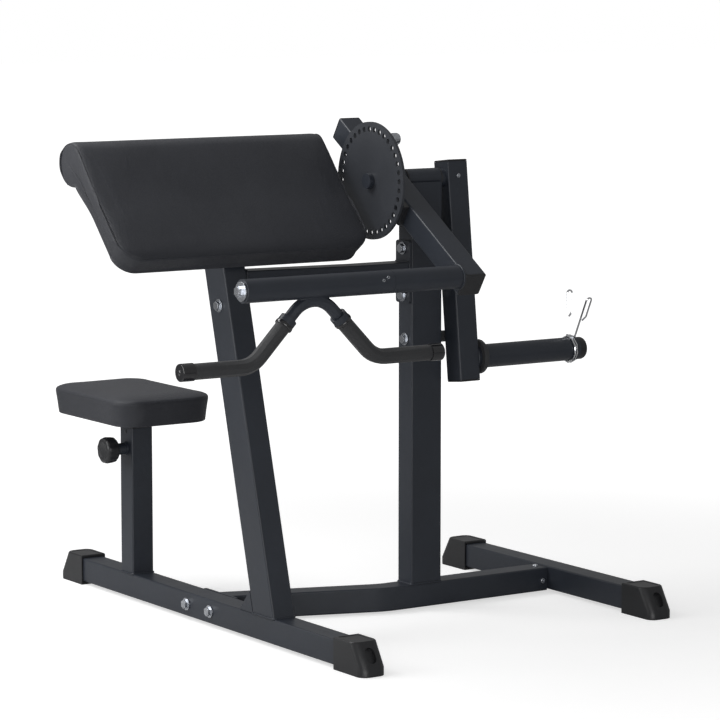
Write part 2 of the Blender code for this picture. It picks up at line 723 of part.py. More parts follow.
def base():
    """Two rails, their feet and the cross beam with its flange and stub."""
    front = rail("front", FRONT_RAIL_X, FRONT_RAIL_NEAR, FRONT_RAIL_FAR)
    rail("rear", REAR_RAIL_X, REAR_RAIL_NEAR, REAR_RAIL_FAR)
    rail_face = FRONT_RAIL_X + TUBE / 2 + GAP
    beam_end = rail_face + FLANGE + GAP
    beam_start = REAR_RAIL_X - TUBE / 2 - GAP
    path = bent_path(beam_start, POST_MIDDLE, BEAM_BEND_X, BEAM_BEND, beam_end - TUBE / 2, BEAM_Z)
    beam = bent_square_tube("cross_beam", path)
    trim_end(beam, beam_end, -1)
    flange_y = POST_MIDDLE + (BEAM_BEND_X - beam_end) * tan(BEAM_BEND)
    middle = Vector((rail_face + FLANGE / 2, flange_y, RAIL_Z))
    mesh = flange_mesh("beam_flange", TUBE, BEAM_FLANGE_LENGTH, BEAM_BOLT_SPACING)
    piece("beam_flange", mesh, spread(middle, Z_AXIS, Y_AXIS), "black_powder_coat")
    heads = [Vector((FRONT_RAIL_X - TUBE / 2, flange_y + side * BEAM_BOLT_SPACING / 2, RAIL_Z))
             for side in (-1, 1)]
    bolt_holes(front, heads, TUBE)
    for i, head in enumerate(heads):
        through_bolt(f"rail_bolt_{i + 1}", head, TUBE + GAP + FLANGE)
    inner = TUBE - 2 * TUBE_WALL - 2 * GAP
    stub_end = Vector((beam_start, POST_MIDDLE, BEAM_Z))
    square_tube("rear_stub", stub_end - X_AXIS * STUB_LENGTH, stub_end, Y_AXIS, width=inner, depth=inner,
                wall=STUB_WALL, edge=STUB_WALL + GAP)


def seat_support():
    """Seat post with its liner and the boss of the pull pin."""
    x, y = FRONT_RAIL_X, SEAT_POST_Y
    top = Vector((x, y, SEAT_POST_TOP))
    post = square_tube("seat_post", Vector((x, y, RAIL_TOP + GAP)), top, X_AXIS)
    bore = rod_mesh("seat_pin_bore", SEAT_PIN_RADIUS + GAP, -TUBE_WALL * 2, TUBE_WALL * 3, SMALL_ROUND)
    on_face = along(SEAT_PIN, X_AXIS, Z_AXIS)
    combine(post, "DIFFERENCE", bore, on_face)
    outer = TUBE - 2 * TUBE_WALL - 2 * GAP
    inner = STEM + 2 * GAP
    edge = TUBE_EDGE - TUBE_WALL
    sections = [(outer, edge, -LINER_LENGTH), (outer, edge, GAP), (TUBE, TUBE_EDGE, GAP),
                (TUBE, TUBE_EDGE, GAP + LINER_LIP)]
    rings = [[(*point, z) for point in rounded_rectangle(side, side, radius)] for side, radius, z in sections]
    liner = piece("seat_liner", loft_mesh("seat_liner", rings), Matrix.Translation(top), "black_plastic")
    hole = outline_mesh("liner_hole", [rounded_rectangle(inner, inner, STEM_EDGE)], 4 * LINER_LENGTH)
    combine(liner, "DIFFERENCE", hole, Matrix.Translation(top))
    combine(liner, "DIFFERENCE", bore, on_face)
    turned("seat_pin_boss", [(PIN_BOSS_LENGTH, PIN_NECK_RADIUS), (PIN_BOSS_BASE, PIN_NECK_RADIUS),
                             (PIN_BOSS_BASE, PIN_BOSS_RADIUS), (GAP, PIN_BOSS_RADIUS)],
           [(PIN_BOSS_LENGTH, SEAT_PIN_RADIUS + GAP), (GAP, SEAT_PIN_RADIUS + GAP)],
           along(SEAT_PIN, -X_AXIS, Z_AXIS), "black_powder_coat", steps=SMALL_ROUND)


def seat_pin():
    """Pull pin of the seat, drawn out until its tip just clears the stem."""
    tip = -(TUBE - STEM) / 2 + GAP
    start = SEAT_KNOB_END - SEAT_KNOB_LENGTH
    skirt = start - SEAT_KNOB_TAPER
    hollow = PIN_NECK_RADIUS + GAP
    bottom = PIN_BOSS_LENGTH + SEAT_PIN_TRAVEL + GAP
    profile = [(start, SEAT_KNOB_RADIUS), (skirt, hollow + KNOB_EDGE), (skirt, hollow), (bottom, hollow),
               (bottom, SEAT_PIN_RADIUS), (tip, SEAT_PIN_RADIUS)]
    turned("seat_pin", eased(SEAT_KNOB_END, SEAT_KNOB_RADIUS, KNOB_EDGE) + profile, None,
           along(SEAT_PIN, -X_AXIS, Z_AXIS), "black_plastic", "seat_pin")


def cushion_ring(width, depth, corner, inset, z):
    radius = max(corner - inset, SEAT_CORNER_LEAST)
    outline = rounded_rectangle(width - 2 * inset, depth - 2 * inset, radius, 2 * CORNER_STEPS)
    return [(*point, z) for point in outline]


def seat():
    """Seat cushion on its board, plate and stem."""
    bottom = SEAT_BOTTOM
    rise = SEAT_SEAM - bottom
    sections = [(SEAT_DRAW * draw, bottom + rise * height) for draw, height in SEAT_WALL]
    sections += [(SEAT_CORNER * corner, SEAT_SEAM + SEAT_CROWN * crown) for corner, crown in SEAT_DOME]
    rings = [cushion_ring(SEAT_WIDTH, SEAT_DEPTH, SEAT_CORNER, inset, z) for inset, z in sections]
    place = Matrix.Translation((SEAT_X, SEAT_Y, 0))
    cushion = piece("seat_cushion", loft_mesh("seat_cushion", rings), place, "charcoal_vinyl", "seat")
    inset = SEAT_DRAW + SEAT_BOARD_INSET
    size = (SEAT_WIDTH - 2 * inset, SEAT_DEPTH - 2 * inset)
    corner = SEAT_CORNER - inset
    middle = Matrix.Translation((SEAT_X, SEAT_Y, bottom + SEAT_BOARD / 2))
    board = outline_mesh("seat_board", [rounded_rectangle(*size, corner)], SEAT_BOARD)
    piece("seat_board", board, middle, "plywood", "seat")
    outline = rounded_rectangle(size[0] + 2 * GAP, size[1] + 2 * GAP, corner + GAP)
    recess = outline_mesh("seat_recess", [outline], SEAT_BOARD + 2 * GAP)
    combine(cushion, "DIFFERENCE", recess, middle, "seat")
    plate_top = bottom - GAP
    plate = outline_mesh("seat_plate", [rounded_rectangle(SEAT_PLATE_SIDE, SEAT_PLATE_SIDE, FLANGE_EDGE)],
                         SEAT_PLATE)
    centre = Vector((FRONT_RAIL_X, SEAT_POST_Y, plate_top - SEAT_PLATE / 2))
    piece("seat_plate", plate, Matrix.Translation(centre), "black_powder_coat", "seat")
    stem_top = Vector((FRONT_RAIL_X, SEAT_POST_Y, plate_top - SEAT_PLATE - GAP))
    stem_end = Vector((FRONT_RAIL_X, SEAT_POST_Y, STEM_BOTTOM))
    stem = square_tube("seat_stem", stem_end, stem_top, X_AXIS, "zinc_plate", "seat", STEM, STEM, STEM_WALL,
                       STEM_EDGE)
    for i in range(SEAT_HOLES):
        hole = rod_mesh("stem_hole", SEAT_PIN_RADIUS + SEAT_HOLE_PLAY, -STEM_WALL, STEM_WALL * 3, SMALL_ROUND)
        place = SEAT_PIN + X_AXIS * (TUBE - STEM) / 2 - Z_AXIS * i * SEAT_HOLE_PITCH
        combine(stem, "DIFFERENCE", hole, along(place, X_AXIS, Z_AXIS), "seat")


def pad_plane(down, out):
    """Matrix of the pad's plane: local X across, local Y down the slope, local Z out of it."""
    origin = ROLL + PAD_DOWN * down + PAD_OUT * out
    return spread(origin, -X_AXIS, PAD_DOWN)


def leaning_post():
    """Leaning post, cut level at its foot and along the pad at its top, with gusset and plate."""
    under = PAD_UNDER - GAP - PAD_PLATE - GAP
    plane = ROLL + PAD_OUT * under
    reach = (plane - LEAN_FOOT).dot(PAD_OUT) / LEAN_DIRECTION.dot(PAD_OUT)
    start = LEAN_FOOT - LEAN_DIRECTION * DEEP_TUBE / 2
    end = LEAN_FOOT + LEAN_DIRECTION * (reach + DEEP_TUBE)
    post = square_tube("leaning_post", start, end, X_AXIS, depth=DEEP_TUBE)
    floor = box_mesh("post_floor", (-1, 1), (-1, 1), (-1, RAIL_TOP + GAP))
    combine(post, "DIFFERENCE", floor, Matrix.Identity(4))
    above = box_mesh("post_top", (-1, 1), (-1, 1), (0, 1))
    combine(post, "DIFFERENCE", above, pad_plane(0, under))
    back = LEAN_FOOT_Y + DEEP_TUBE / cos(LEAN) + GAP / cos(LEAN)
    low = RAIL_TOP + GAP
    corner = (back + GAP * tan(LEAN), low)
    outline = [corner, (corner[0] + GUSSET_REACH, low),
               (corner[0] + GUSSET_HEIGHT * tan(LEAN), low + GUSSET_HEIGHT)]
    place = Vector((FRONT_RAIL_X - TUBE / 2 + GUSSET / 2, 0, 0))
    mesh = outline_mesh("post_gusset", [outline], GUSSET)
    piece("post_gusset", mesh, spread(place, Y_AXIS, Z_AXIS), "black_powder_coat")
    top = LEAN_FOOT + LEAN_DIRECTION * reach
    down = (top - ROLL).dot(PAD_DOWN)
    outline = rounded_rectangle(PAD_PLATE_WIDTH, PAD_PLATE_LENGTH, FLANGE_EDGE)
    plate = outline_mesh("pad_plate", [outline], PAD_PLATE)
    piece("pad_plate", plate, pad_plane(down, PAD_UNDER - GAP - PAD_PLATE / 2), "black_powder_coat")
    return post


def pad_outline(inset):
    """Outline of the slab in the pad's plane, square behind the roll and rounded at the front."""
    side = PAD_WIDTH / 2 - ROLL_EDGE / 2 - inset
    front = PAD_LENGTH - inset
    radius = PAD_CORNER - inset / 2
    steps = 2 * CORNER_STEPS
    return ([(side, -PAD_BACK)] + arc(side - radius, front - radius, radius, 0, pi / 2, steps)
            + arc(radius - side, front - radius, radius, pi / 2, pi, steps) + [(-side, -PAD_BACK)])


def arm_pad():
    """Arm pad: a slab whose walls pull in to its board, joined to the roll."""
    sections = [(PAD_DRAW * draw, PAD_UNDER + PAD_THICK * height) for draw, height in PAD_WALL]
    sections += [(0, PAD_TOP - PAD_SEAM), (PAD_SEAM, PAD_TOP), (PAD_CORNER, PAD_TOP + PAD_CROWN)]
    rings = [[(x, y, z) for x, y in pad_outline(inset)] for inset, z in sections]
    plane = pad_plane(0, 0)
    pad = piece("pad_cushion", loft_mesh("pad_cushion", rings), plane, "charcoal_vinyl")
    half = PAD_WIDTH / 2
    ends = eased(half, ROLL_RADIUS, ROLL_EDGE)
    circles = [ring(radius, -x, ROLL_SIDES) for x, radius in ends]
    circles += [ring(radius, x, ROLL_SIDES) for x, radius in ends[::-1]]
    combine(pad, "UNION", loft_mesh("pad_roll", circles), along(ROLL, X_AXIS, PAD_DOWN))
    inset = PAD_DRAW + PAD_BOARD_INSET
    width = PAD_WIDTH - 2 * inset
    length = PAD_LENGTH - inset - PAD_BOARD_START
    middle = pad_plane(PAD_BOARD_START + length / 2, PAD_UNDER + PAD_BOARD / 2)
    board = outline_mesh("pad_board", [rounded_rectangle(width, length, PAD_CORNER / 2)], PAD_BOARD)
    piece("pad_board", board, middle, "plywood")
    outline = rounded_rectangle(width + 2 * GAP, length + 2 * GAP, PAD_CORNER / 2 + GAP)
    recess = outline_mesh("pad_recess", [outline], PAD_BOARD + 2 * GAP)
    combine(pad, "DIFFERENCE", recess, middle)


def upper_frame(leaning):
    """Rear post and the upper beam that ties it to the leaning post."""
    base_z = BEAM_LIFT + TUBE + GAP
    middle = Vector((DEEP_TUBE / 2, POST_MIDDLE, 0))
    post = square_tube("rear_post", middle + Z_AXIS * base_z, middle + Z_AXIS * REAR_POST_TOP, X_AXIS,
                       width=DEEP_TUBE, wall=REAR_POST_WALL)
    saddle = rod_mesh("saddle", HOUSING_RADIUS + GAP, -DEEP_TUBE, 2 * DEEP_TUBE)
    combine(post, "DIFFERENCE", saddle, along(PIVOT, X_AXIS, Z_AXIS))
    stop_hole = Vector((0, POST_MIDDLE, STOP_Z))
    rear_face = -GAP - FLANGE / 2
    front_face = FRONT_RAIL_X + TUBE / 2 + GAP + FLANGE / 2
    start_x = rear_face - FLANGE / 2 - GAP
    end_x = front_face + FLANGE / 2 + GAP
    path = bent_path(start_x, POST_MIDDLE, UPPER_BEND_X, UPPER_BEND, end_x - TUBE / 2, UPPER_Z)
    beam = bent_square_tube("upper_beam", path)
    trim_end(beam, end_x, -1)
    mesh = flange_mesh("upper_flange", TUBE, UPPER_FLANGE_LENGTH, UPPER_BOLT_SPACING)
    place = Vector((rear_face, POST_MIDDLE, UPPER_FLANGE_Z))
    piece("rear_flange", mesh, spread(place, Y_AXIS, Z_AXIS), "black_powder_coat")
    lean_middle = LEAN_FOOT + LEAN_DIRECTION * (UPPER_FLANGE_Z - LEAN_FOOT.z) / LEAN_DIRECTION.z
    lean_middle.x = front_face
    piece("front_flange", mesh.copy(), spread(lean_middle, -LEAN_FACE, LEAN_DIRECTION), "black_powder_coat")
    half = UPPER_BOLT_SPACING / 2
    rear_heads = [place + Z_AXIS * side * half - X_AXIS * FLANGE / 2 for side in (-1, 1)]
    bolt_holes(post, rear_heads + [stop_hole], DEEP_TUBE + FLANGE)
    front_heads = [lean_middle + LEAN_DIRECTION * side * half for side in (-1, 1)]
    for head in front_heads:
        head.x = FRONT_RAIL_X - TUBE / 2
    bolt_holes(leaning, front_heads, TUBE)
    for i, head in enumerate(rear_heads):
        through_bolt(f"rear_flange_bolt_{i + 1}", head, FLANGE + GAP + DEEP_TUBE)
    for i, head in enumerate(front_heads):
        through_bolt(f"front_flange_bolt_{i + 1}", head, TUBE + GAP + FLANGE)
    through_bolt("stop_bolt", stop_hole, DEEP_TUBE + GAP + STOP_LENGTH)
    turned("stop_bumper", [(STOP_LENGTH, STOP_RADIUS), (0, STOP_RADIUS)],
           [(STOP_LENGTH, BOLT_RADIUS + GAP), (0, BOLT_RADIUS + GAP)],
           along(stop_hole + X_AXIS * (DEEP_TUBE + GAP), X_AXIS, Z_AXIS), "black_rubber")


def bearing():
    """Housing welded into the saddle of the rear post, with a flanged bush at each end."""
    start = -HOUSING_PROUD
    end = DEEP_TUBE + HOUSING_PROUD
    bore = HOUSING_RADIUS - HOUSING_WALL
    turned("bearing_housing", [(end, HOUSING_RADIUS), (start, HOUSING_RADIUS)], [(end, bore), (start, bore)],
           along(PIVOT, X_AXIS, Z_AXIS), "black_powder_coat")
    body = bore - GAP
    hole = SHAFT_RADIUS + GAP
    for name, face, inward in (("near_bush", start, 1), ("far_bush", end, -1)):
        matrix = along(PIVOT + X_AXIS * face, -X_AXIS * inward, Z_AXIS)
        turned(name, [(GAP + BUSH_FLANGE, HOUSING_RADIUS), (GAP, HOUSING_RADIUS), (GAP, body),
                      (-BUSH_LENGTH, body)],
               [(GAP + BUSH_FLANGE, hole), (-BUSH_LENGTH, hole)], matrix, "bearing_plastic")


def weld_hub(arm, radius, start, end, body):
    """Join a bored cross tube to a square tube, round the pivot."""
    matrix = along(PIVOT, X_AXIS, Z_AXIS)
    combine(arm, "UNION", rod_mesh(arm.name + "_hub", radius, start, end), matrix, body)
    bore = rod_mesh(arm.name + "_bore", SHAFT_RADIUS + GAP, start - TUBE, end + TUBE)
    combine(arm, "DIFFERENCE", bore, matrix, body)


def swing():
    """Pivot shaft, index disc, weight arm and plate sleeve, which turn together."""
    disc_face = DISC_X - GAP
    profile = [(ARM_X + TUBE, SHAFT_RADIUS), (disc_face, SHAFT_RADIUS), (disc_face, DISC_BOSS_RADIUS),
               (disc_face - DISC_BOSS, DISC_BOSS_RADIUS)]
    turned("pivot_shaft", profile, None, along(PIVOT, X_AXIS, Z_AXIS), "black_powder_coat", "swing")
    step = 2 * pi / DISC_HOLES
    holes = [circle(DISC_HOLE_CIRCLE * cos(DISC_FIRST_HOLE + i * step),
                    DISC_HOLE_CIRCLE * sin(DISC_FIRST_HOLE + i * step), DISC_HOLE_RADIUS, 10)
             for i in range(DISC_HOLES)]
    loops = [circle(0, 0, DISC_RADIUS, 3 * ROUND), circle(0, 0, SHAFT_RADIUS + GAP, ROUND)] + holes
    piece("index_disc", outline_mesh("index_disc", loops, DISC),
          spread(PIVOT + X_AXIS * (DISC_X + DISC / 2), Y_AXIS, Z_AXIS), "black_powder_coat", "swing")
    arm_pivot = PIVOT + X_AXIS * (ARM_X + TUBE / 2)
    top = arm_pivot - ARM_DIRECTION * ARM_ABOVE
    bottom = arm_pivot + ARM_DIRECTION * ARM_BELOW
    arm = square_tube("weight_arm", bottom, top, X_AXIS, body="swing")
    bush_face = DEEP_TUBE + HOUSING_PROUD + GAP + BUSH_FLANGE
    weld_hub(arm, ARM_HUB_RADIUS, bush_face + GAP, ARM_X + TUBE - GAP, "swing")
    plug("arm_plug_top", top, -ARM_DIRECTION, X_AXIS, "swing")
    plug("arm_plug_bottom", bottom, ARM_DIRECTION, X_AXIS, "swing")
    matrix = along(SLEEVE_CENTRE, X_AXIS, Z_AXIS)
    bore = SLEEVE_RADIUS - SLEEVE_WALL
    turned("plate_sleeve", [(SLEEVE_LENGTH, SLEEVE_RADIUS), (0, SLEEVE_RADIUS)],
           [(SLEEVE_LENGTH, bore), (0, bore)], matrix, "black_powder_coat", "swing")
    ring_end = SLEEVE_RING_START + SLEEVE_RING
    top_edge = eased(ring_end, SLEEVE_RING_RADIUS, SLEEVE_RING_EDGE)
    low_edge = [(SLEEVE_RING_START + ring_end - z, radius) for z, radius in reversed(top_edge)]
    turned("sleeve_ring", top_edge + low_edge,
           [(ring_end, SLEEVE_RADIUS + GAP), (SLEEVE_RING_START, SLEEVE_RADIUS + GAP)],
           matrix, "black_rubber", "swing")
    start = SLEEVE_LENGTH + GAP
    profile = eased(start + SLEEVE_CAP, SLEEVE_CAP_RADIUS, SLEEVE_CAP_EDGE)
    profile += [(start, SLEEVE_CAP_RADIUS), (start, bore - GAP), (start - SLEEVE_CAP, bore - GAP)]
    turned("sleeve_cap", profile, None, matrix, "black_plastic", "swing")


def lever():
    """Lever that turns on the pivot shaft, with the guide pad, the pin's barrel and the axle."""
    middle = PIVOT + X_AXIS * (LEVER_X + TUBE / 2)
    top = middle + LEVER_DIRECTION * LEVER_ABOVE
    bottom = middle - LEVER_DIRECTION * LEVER_BELOW
    tube = square_tube("lever_tube", bottom, top, X_AXIS, body="lever")
    bush_face = -HOUSING_PROUD - GAP - BUSH_FLANGE
    weld_hub(tube, LEVER_HUB_RADIUS, DISC_X + DISC + GAP, bush_face - GAP, "lever")
    notch = rod_mesh("barrel_notch", BARREL_RADIUS + GAP, LEVER_X - TUBE, LEVER_X + 2 * TUBE)
    on_pin = along(INDEX_PIN, X_AXIS, Z_AXIS)
    combine(tube, "DIFFERENCE", notch, on_pin, "lever")
    plug("lever_plug_top", top, LEVER_DIRECTION, X_AXIS, "lever")
    plug("lever_plug_bottom", bottom, -LEVER_DIRECTION, X_AXIS, "lever")
    start, end = LEVER_X - BARREL_PROUD, LEVER_X + TUBE + BARREL_PROUD
    hole = INDEX_PIN_RADIUS + GAP
    turned("pin_barrel", [(end, BARREL_RADIUS), (start, BARREL_RADIUS)], [(end, hole), (start, hole)],
           on_pin, "black_powder_coat", "lever")
    guide = box_mesh("disc_guide", (-GUIDE_WIDTH / 2, GUIDE_WIDTH / 2), (-GUIDE_DEPTH / 2, GUIDE_DEPTH / 2),
                     (GAP, DISC_GAP - GAP))
    place = PIVOT + X_AXIS * (LEVER_X - DISC_GAP) - LEVER_DIRECTION * GUIDE_DOWN
    piece("disc_guide", guide, spread(place, LEVER_DIRECTION, LEVER_NORMAL), "black_plastic", "lever")
    step = AXLE_STUB
    end = AXLE_STUB + GAP + HANDLE_SLEEVE_LENGTH + GAP
    matrix = along(AXLE, -X_AXIS, Z_AXIS)
    turned("handle_axle", [(end, AXLE_RADIUS), (step, AXLE_RADIUS), (step, STUB_RADIUS), (GAP, STUB_RADIUS)],
           [(end, AXLE_BORE), (GAP, AXLE_BORE)], matrix, "black_powder_coat", "lever")
    face = end + GAP
    head = face + AXLE_WASHER
    stack = [ring(AXLE_BORE - GAP, face - AXLE_PLUG), ring(AXLE_BORE - GAP, face),
             ring(AXLE_WASHER_RADIUS, face), ring(AXLE_WASHER_RADIUS, head),
             hexagon(AXLE_HEAD_FLATS, head), hexagon(AXLE_HEAD_FLATS, head + AXLE_HEAD)]
    piece("axle_bolt", loft_mesh("axle_bolt", stack), matrix, "zinc_plate", "lever")


def index_pin():
    """Index pin, drawn out until its tip just clears the disc."""
    tip = DISC_X + DISC + GAP
    start = LEVER_X + TUBE + BARREL_PROUD + INDEX_PIN_TRAVEL + GAP
    waist = INDEX_KNOB_RADIUS - KNOB_EDGE
    profile = eased(start + INDEX_KNOB_LENGTH, INDEX_KNOB_RADIUS, KNOB_EDGE)
    profile += [(start + 2 * INDEX_KNOB_TAPER, INDEX_KNOB_RADIUS), (start + INDEX_KNOB_TAPER, waist),
                (start, waist), (start, INDEX_PIN_RADIUS), (tip, INDEX_PIN_RADIUS)]
    turned("index_pin", profile, None, along(INDEX_PIN, X_AXIS, Z_AXIS), "zinc_plate", "index_pin",
           SMALL_ROUND)


def bar_path():
    """Half of the curl bar's line from the top of the arch, as (across, down) from the axle."""
    turn = [BAR_LEG * i / BAR_STEPS for i in range(BAR_STEPS + 1)]
    arch = [(BAR_ARCH_RADIUS * sin(a), BAR_DROP + BAR_ARCH_RADIUS * (1 - cos(a))) for a in turn]
    leg_x, leg_z = arch[-1]
    corner = (leg_x + (BAR_FLAT_DROP - leg_z) / tan(BAR_LEG), BAR_FLAT_DROP)
    end = (BAR_HALF, BAR_FLAT_DROP)
    bend = rounded_corner(arch[-1], corner, end, BAR_BEND_RADIUS, BAR_STEPS)
    return arch + [tuple(point) for point in bend] + [end]


def on_bar(across, down):
    return Vector((BAR_X - AXLE.x + across, 0, -down))


def handle():
    """Sleeve on the axle and the cranked curl bar with grips and end caps."""
    end = HANDLE_SLEEVE_LENGTH
    hole = AXLE_RADIUS + GAP
    land = HANDLE_SLEEVE_LAND
    turned("handle_sleeve", [(end, STUB_RADIUS), (0, STUB_RADIUS)],
           [(end, hole), (end - land, hole), (end - land, HANDLE_SLEEVE_RELIEF),
            (land, HANDLE_SLEEVE_RELIEF), (land, hole), (0, hole)],
           along(Vector((HANDLE_SLEEVE_X, AXLE.y, AXLE.z)), -X_AXIS, Z_AXIS), "black_powder_coat", "handle")
    half = bar_path()
    left = [(-across, down) for across, down in reversed(half)]
    middle = Matrix.Translation(AXLE)
    line = [on_bar(*point) for point in left[:-1] + half]
    mesh = wire_mesh("curl_bar", line, BAR_RADIUS, CORNER_STEPS)
    bar = piece("curl_bar", mesh, middle, "black_powder_coat", "handle")
    cope = rod_mesh("cope", STUB_RADIUS + GAP, -PAD_WIDTH, PAD_WIDTH, 2 * ROUND)
    combine(bar, "DIFFERENCE", cope, along(AXLE, X_AXIS, Z_AXIS), "handle")
    leg_start = half[BAR_STEPS]
    slope = Vector((cos(BAR_LEG), sin(BAR_LEG)))
    collar = Vector(leg_start) + slope * (COLLAR_PLACE - leg_start[0]) / slope.x
    first = collar + slope * (COLLAR_LENGTH / 2 + GAP)
    cap_start = BAR_HALF + BAR_CAP_END - BAR_CAP_LENGTH
    for name, side in (("left", -1), ("right", 1)):
        direction = Vector((side * slope.x, 0, -slope.y))
        place = AXLE + on_bar(side * collar.x, collar.y)
        mesh = rod_mesh(name + "_collar", COLLAR_RADIUS, -COLLAR_LENGTH / 2, COLLAR_LENGTH / 2)
        combine(bar, "UNION", mesh, along(place, direction, Y_AXIS), "handle")
        covered = [tuple(first)] + half[BAR_STEPS + 1:-1] + [(cap_start - GAP, BAR_FLAT_DROP)]
        line = [on_bar(side * across, down) for across, down in covered]
        skin = wire_mesh(name + "_grip", line, GRIP_RADIUS, CORNER_STEPS, caps=False)
        grip = piece(name + "_grip", skin, middle, "black_rubber", "handle")
        shell = grip.modifiers.new("shell", "SOLIDIFY")
        shell.thickness = GRIP_RADIUS - BAR_RADIUS - GAP
        shell.offset = -1
        shell.use_even_offset = True
        inside = BAR_HALF - cap_start + GAP
        profile = eased(BAR_CAP_LENGTH, BAR_CAP_RADIUS, BAR_CAP_EDGE)
        profile += [(0, BAR_CAP_RADIUS), (0, BAR_RADIUS + GAP), (inside, BAR_RADIUS + GAP)]
        turned(name + "_bar_cap", profile, None,
               along(AXLE + on_bar(side * cap_start, BAR_FLAT_DROP), X_AXIS * side, Z_AXIS),
               "gloss_black_cap", "handle")


def clip_path():
    """Line of the spring clip about the sleeve's axis, local Z: hairpin, turns, hairpin."""
    radius = (SLEEVE_RADIUS + GAP + CLIP_WIRE_RADIUS) / cos(pi / CLIP_POINTS)
    sweep = 2 * pi * CLIP_TURNS + CLIP_SPREAD
    count = ceil(CLIP_POINTS * sweep / (2 * pi))
    turns = []
    for i in range(count + 1):
        angle = sweep * i / count
        turns.append(Vector((radius * cos(angle), radius * sin(angle), CLIP_PITCH * angle / (2 * pi))))
    first = hairpin(0, 0)
    last = hairpin(sweep, CLIP_PITCH * sweep / (2 * pi))
    start = rounded_corner(first[0], turns[0], turns[1], CLIP_ROOT)
    end = rounded_corner(turns[-2], turns[-1], last[0], CLIP_ROOT)
    return first[::-1] + start + turns[1:-1] + end + last


def hairpin(angle, height):
    """A handle of the clip: out from the coil, round, part way back and across."""
    rise = CLIP_REACH - CLIP_HAIRPIN
    back = rise - CLIP_RETURN
    line = [(rise / 2, 0), (rise, 0)]
    line += [(rise + CLIP_HAIRPIN * sin(a), CLIP_HAIRPIN * (1 - cos(a)))
             for a in (pi * i / CLIP_STEPS for i in range(1, CLIP_STEPS))]
    line += [(rise, 2 * CLIP_HAIRPIN), (back, 2 * CLIP_HAIRPIN),
             (back - CLIP_HAIRPIN * 1.5, 2 * CLIP_WIRE_RADIUS + 4 * GAP)]
    return [Vector((out * cos(angle), out * sin(angle), height + across)) for out, across in line]


def least_gap(points, diameter):
    """Least clear distance between parts of a wire that lie six diameters apart or more."""
    fine = []
    for start, end in zip(points, points[1:]):
        start, end = Vector(start), Vector(end)
        steps = ceil(2 * (end - start).length / diameter)
        fine += [start.lerp(end, i / steps) for i in range(steps)]
    apart = 12
    return min((fine[i] - fine[j]).length for i in range(len(fine))
               for j in range(i + apart, len(fine))) - diameter


def spring_clip():
    """Sprung wire clip that keeps the plates on the sleeve."""
    path = clip_path()
    print(f"spring clip: least gap to itself {1000 * least_gap(path, 2 * CLIP_WIRE_RADIUS):.2f} mm")
    mesh = wire_mesh("spring_clip", path, CLIP_WIRE_RADIUS, 1)
    place = SLEEVE_CENTRE + X_AXIS * CLIP_PLACE
    piece("spring_clip", mesh, along(place, X_AXIS, Z_AXIS), "bright_chrome", "spring_clip")


def main():
    clear_scene()
    place_bodies()
    base()
    seat_support()
    seat_pin()
    seat()
    upper_frame(leaning_post())
    arm_pad()
    bearing()
    swing()
    lever()
    index_pin()
    handle()
    spring_clip()


if __name__ == "__main__":
    main()
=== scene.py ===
"""Looks of the plate loaded biceps curl machine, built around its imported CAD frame.

The frame is in metres with Z up. The person sits at +Y and looks along -Y over the arm pad, and the
plates go on the sleeve at +X. Every piece made here stays at the origin with its place in its mesh.
"""

import json
import logging
from dataclasses import dataclass, field
from enum import Enum
from math import asin, cos, hypot, pi, radians, sin, tan
from typing import Callable, Sequence

import bmesh
import bpy
from mathutils import Matrix, Vector
from mathutils.bvhtree import BVHTree
from mathutils.kdtree import KDTree

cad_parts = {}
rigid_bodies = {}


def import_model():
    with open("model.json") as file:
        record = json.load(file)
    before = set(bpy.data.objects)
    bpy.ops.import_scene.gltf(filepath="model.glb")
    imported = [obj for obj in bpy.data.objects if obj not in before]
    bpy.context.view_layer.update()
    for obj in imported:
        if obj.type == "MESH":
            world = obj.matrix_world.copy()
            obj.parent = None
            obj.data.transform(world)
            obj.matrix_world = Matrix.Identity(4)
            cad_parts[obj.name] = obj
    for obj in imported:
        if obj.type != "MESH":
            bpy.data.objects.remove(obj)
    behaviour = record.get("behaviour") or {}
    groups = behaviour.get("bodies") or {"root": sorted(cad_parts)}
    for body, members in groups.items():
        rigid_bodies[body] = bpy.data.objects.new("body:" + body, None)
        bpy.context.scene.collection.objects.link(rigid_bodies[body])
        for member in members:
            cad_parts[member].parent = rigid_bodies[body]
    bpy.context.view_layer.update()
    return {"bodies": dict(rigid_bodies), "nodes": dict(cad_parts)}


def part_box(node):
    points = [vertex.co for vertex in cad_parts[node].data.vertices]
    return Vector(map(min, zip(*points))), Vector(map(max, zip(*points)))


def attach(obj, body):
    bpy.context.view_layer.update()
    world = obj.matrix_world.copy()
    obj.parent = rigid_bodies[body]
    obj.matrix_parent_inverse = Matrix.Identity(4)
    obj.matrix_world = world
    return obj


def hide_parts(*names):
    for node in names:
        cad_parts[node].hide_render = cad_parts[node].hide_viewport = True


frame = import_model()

LOG = logging.getLogger("curl_machine")
Colour = tuple[float, float, float]

X_AXIS = Vector((1, 0, 0))
Y_AXIS = Vector((0, 1, 0))
Z_AXIS = Vector((0, 0, 1))

# Distances at which points are merged: in a new piece, and in a CAD mesh or a sewn cushion.
MERGE_GAP = 1e-6
JOIN_GAP = 1e-5

# Edges flatter than the first are dissolved, steeper than the second rounded, than the third sharp.
FLAT_ANGLE = radians(0.8)
ROUNDED_ANGLE = radians(38)
SHARP_ANGLE = radians(35)

# Weld beads: distance between points, and between ripples.
BEAD_STEP = 0.0012
RIPPLE_PITCH = 0.003


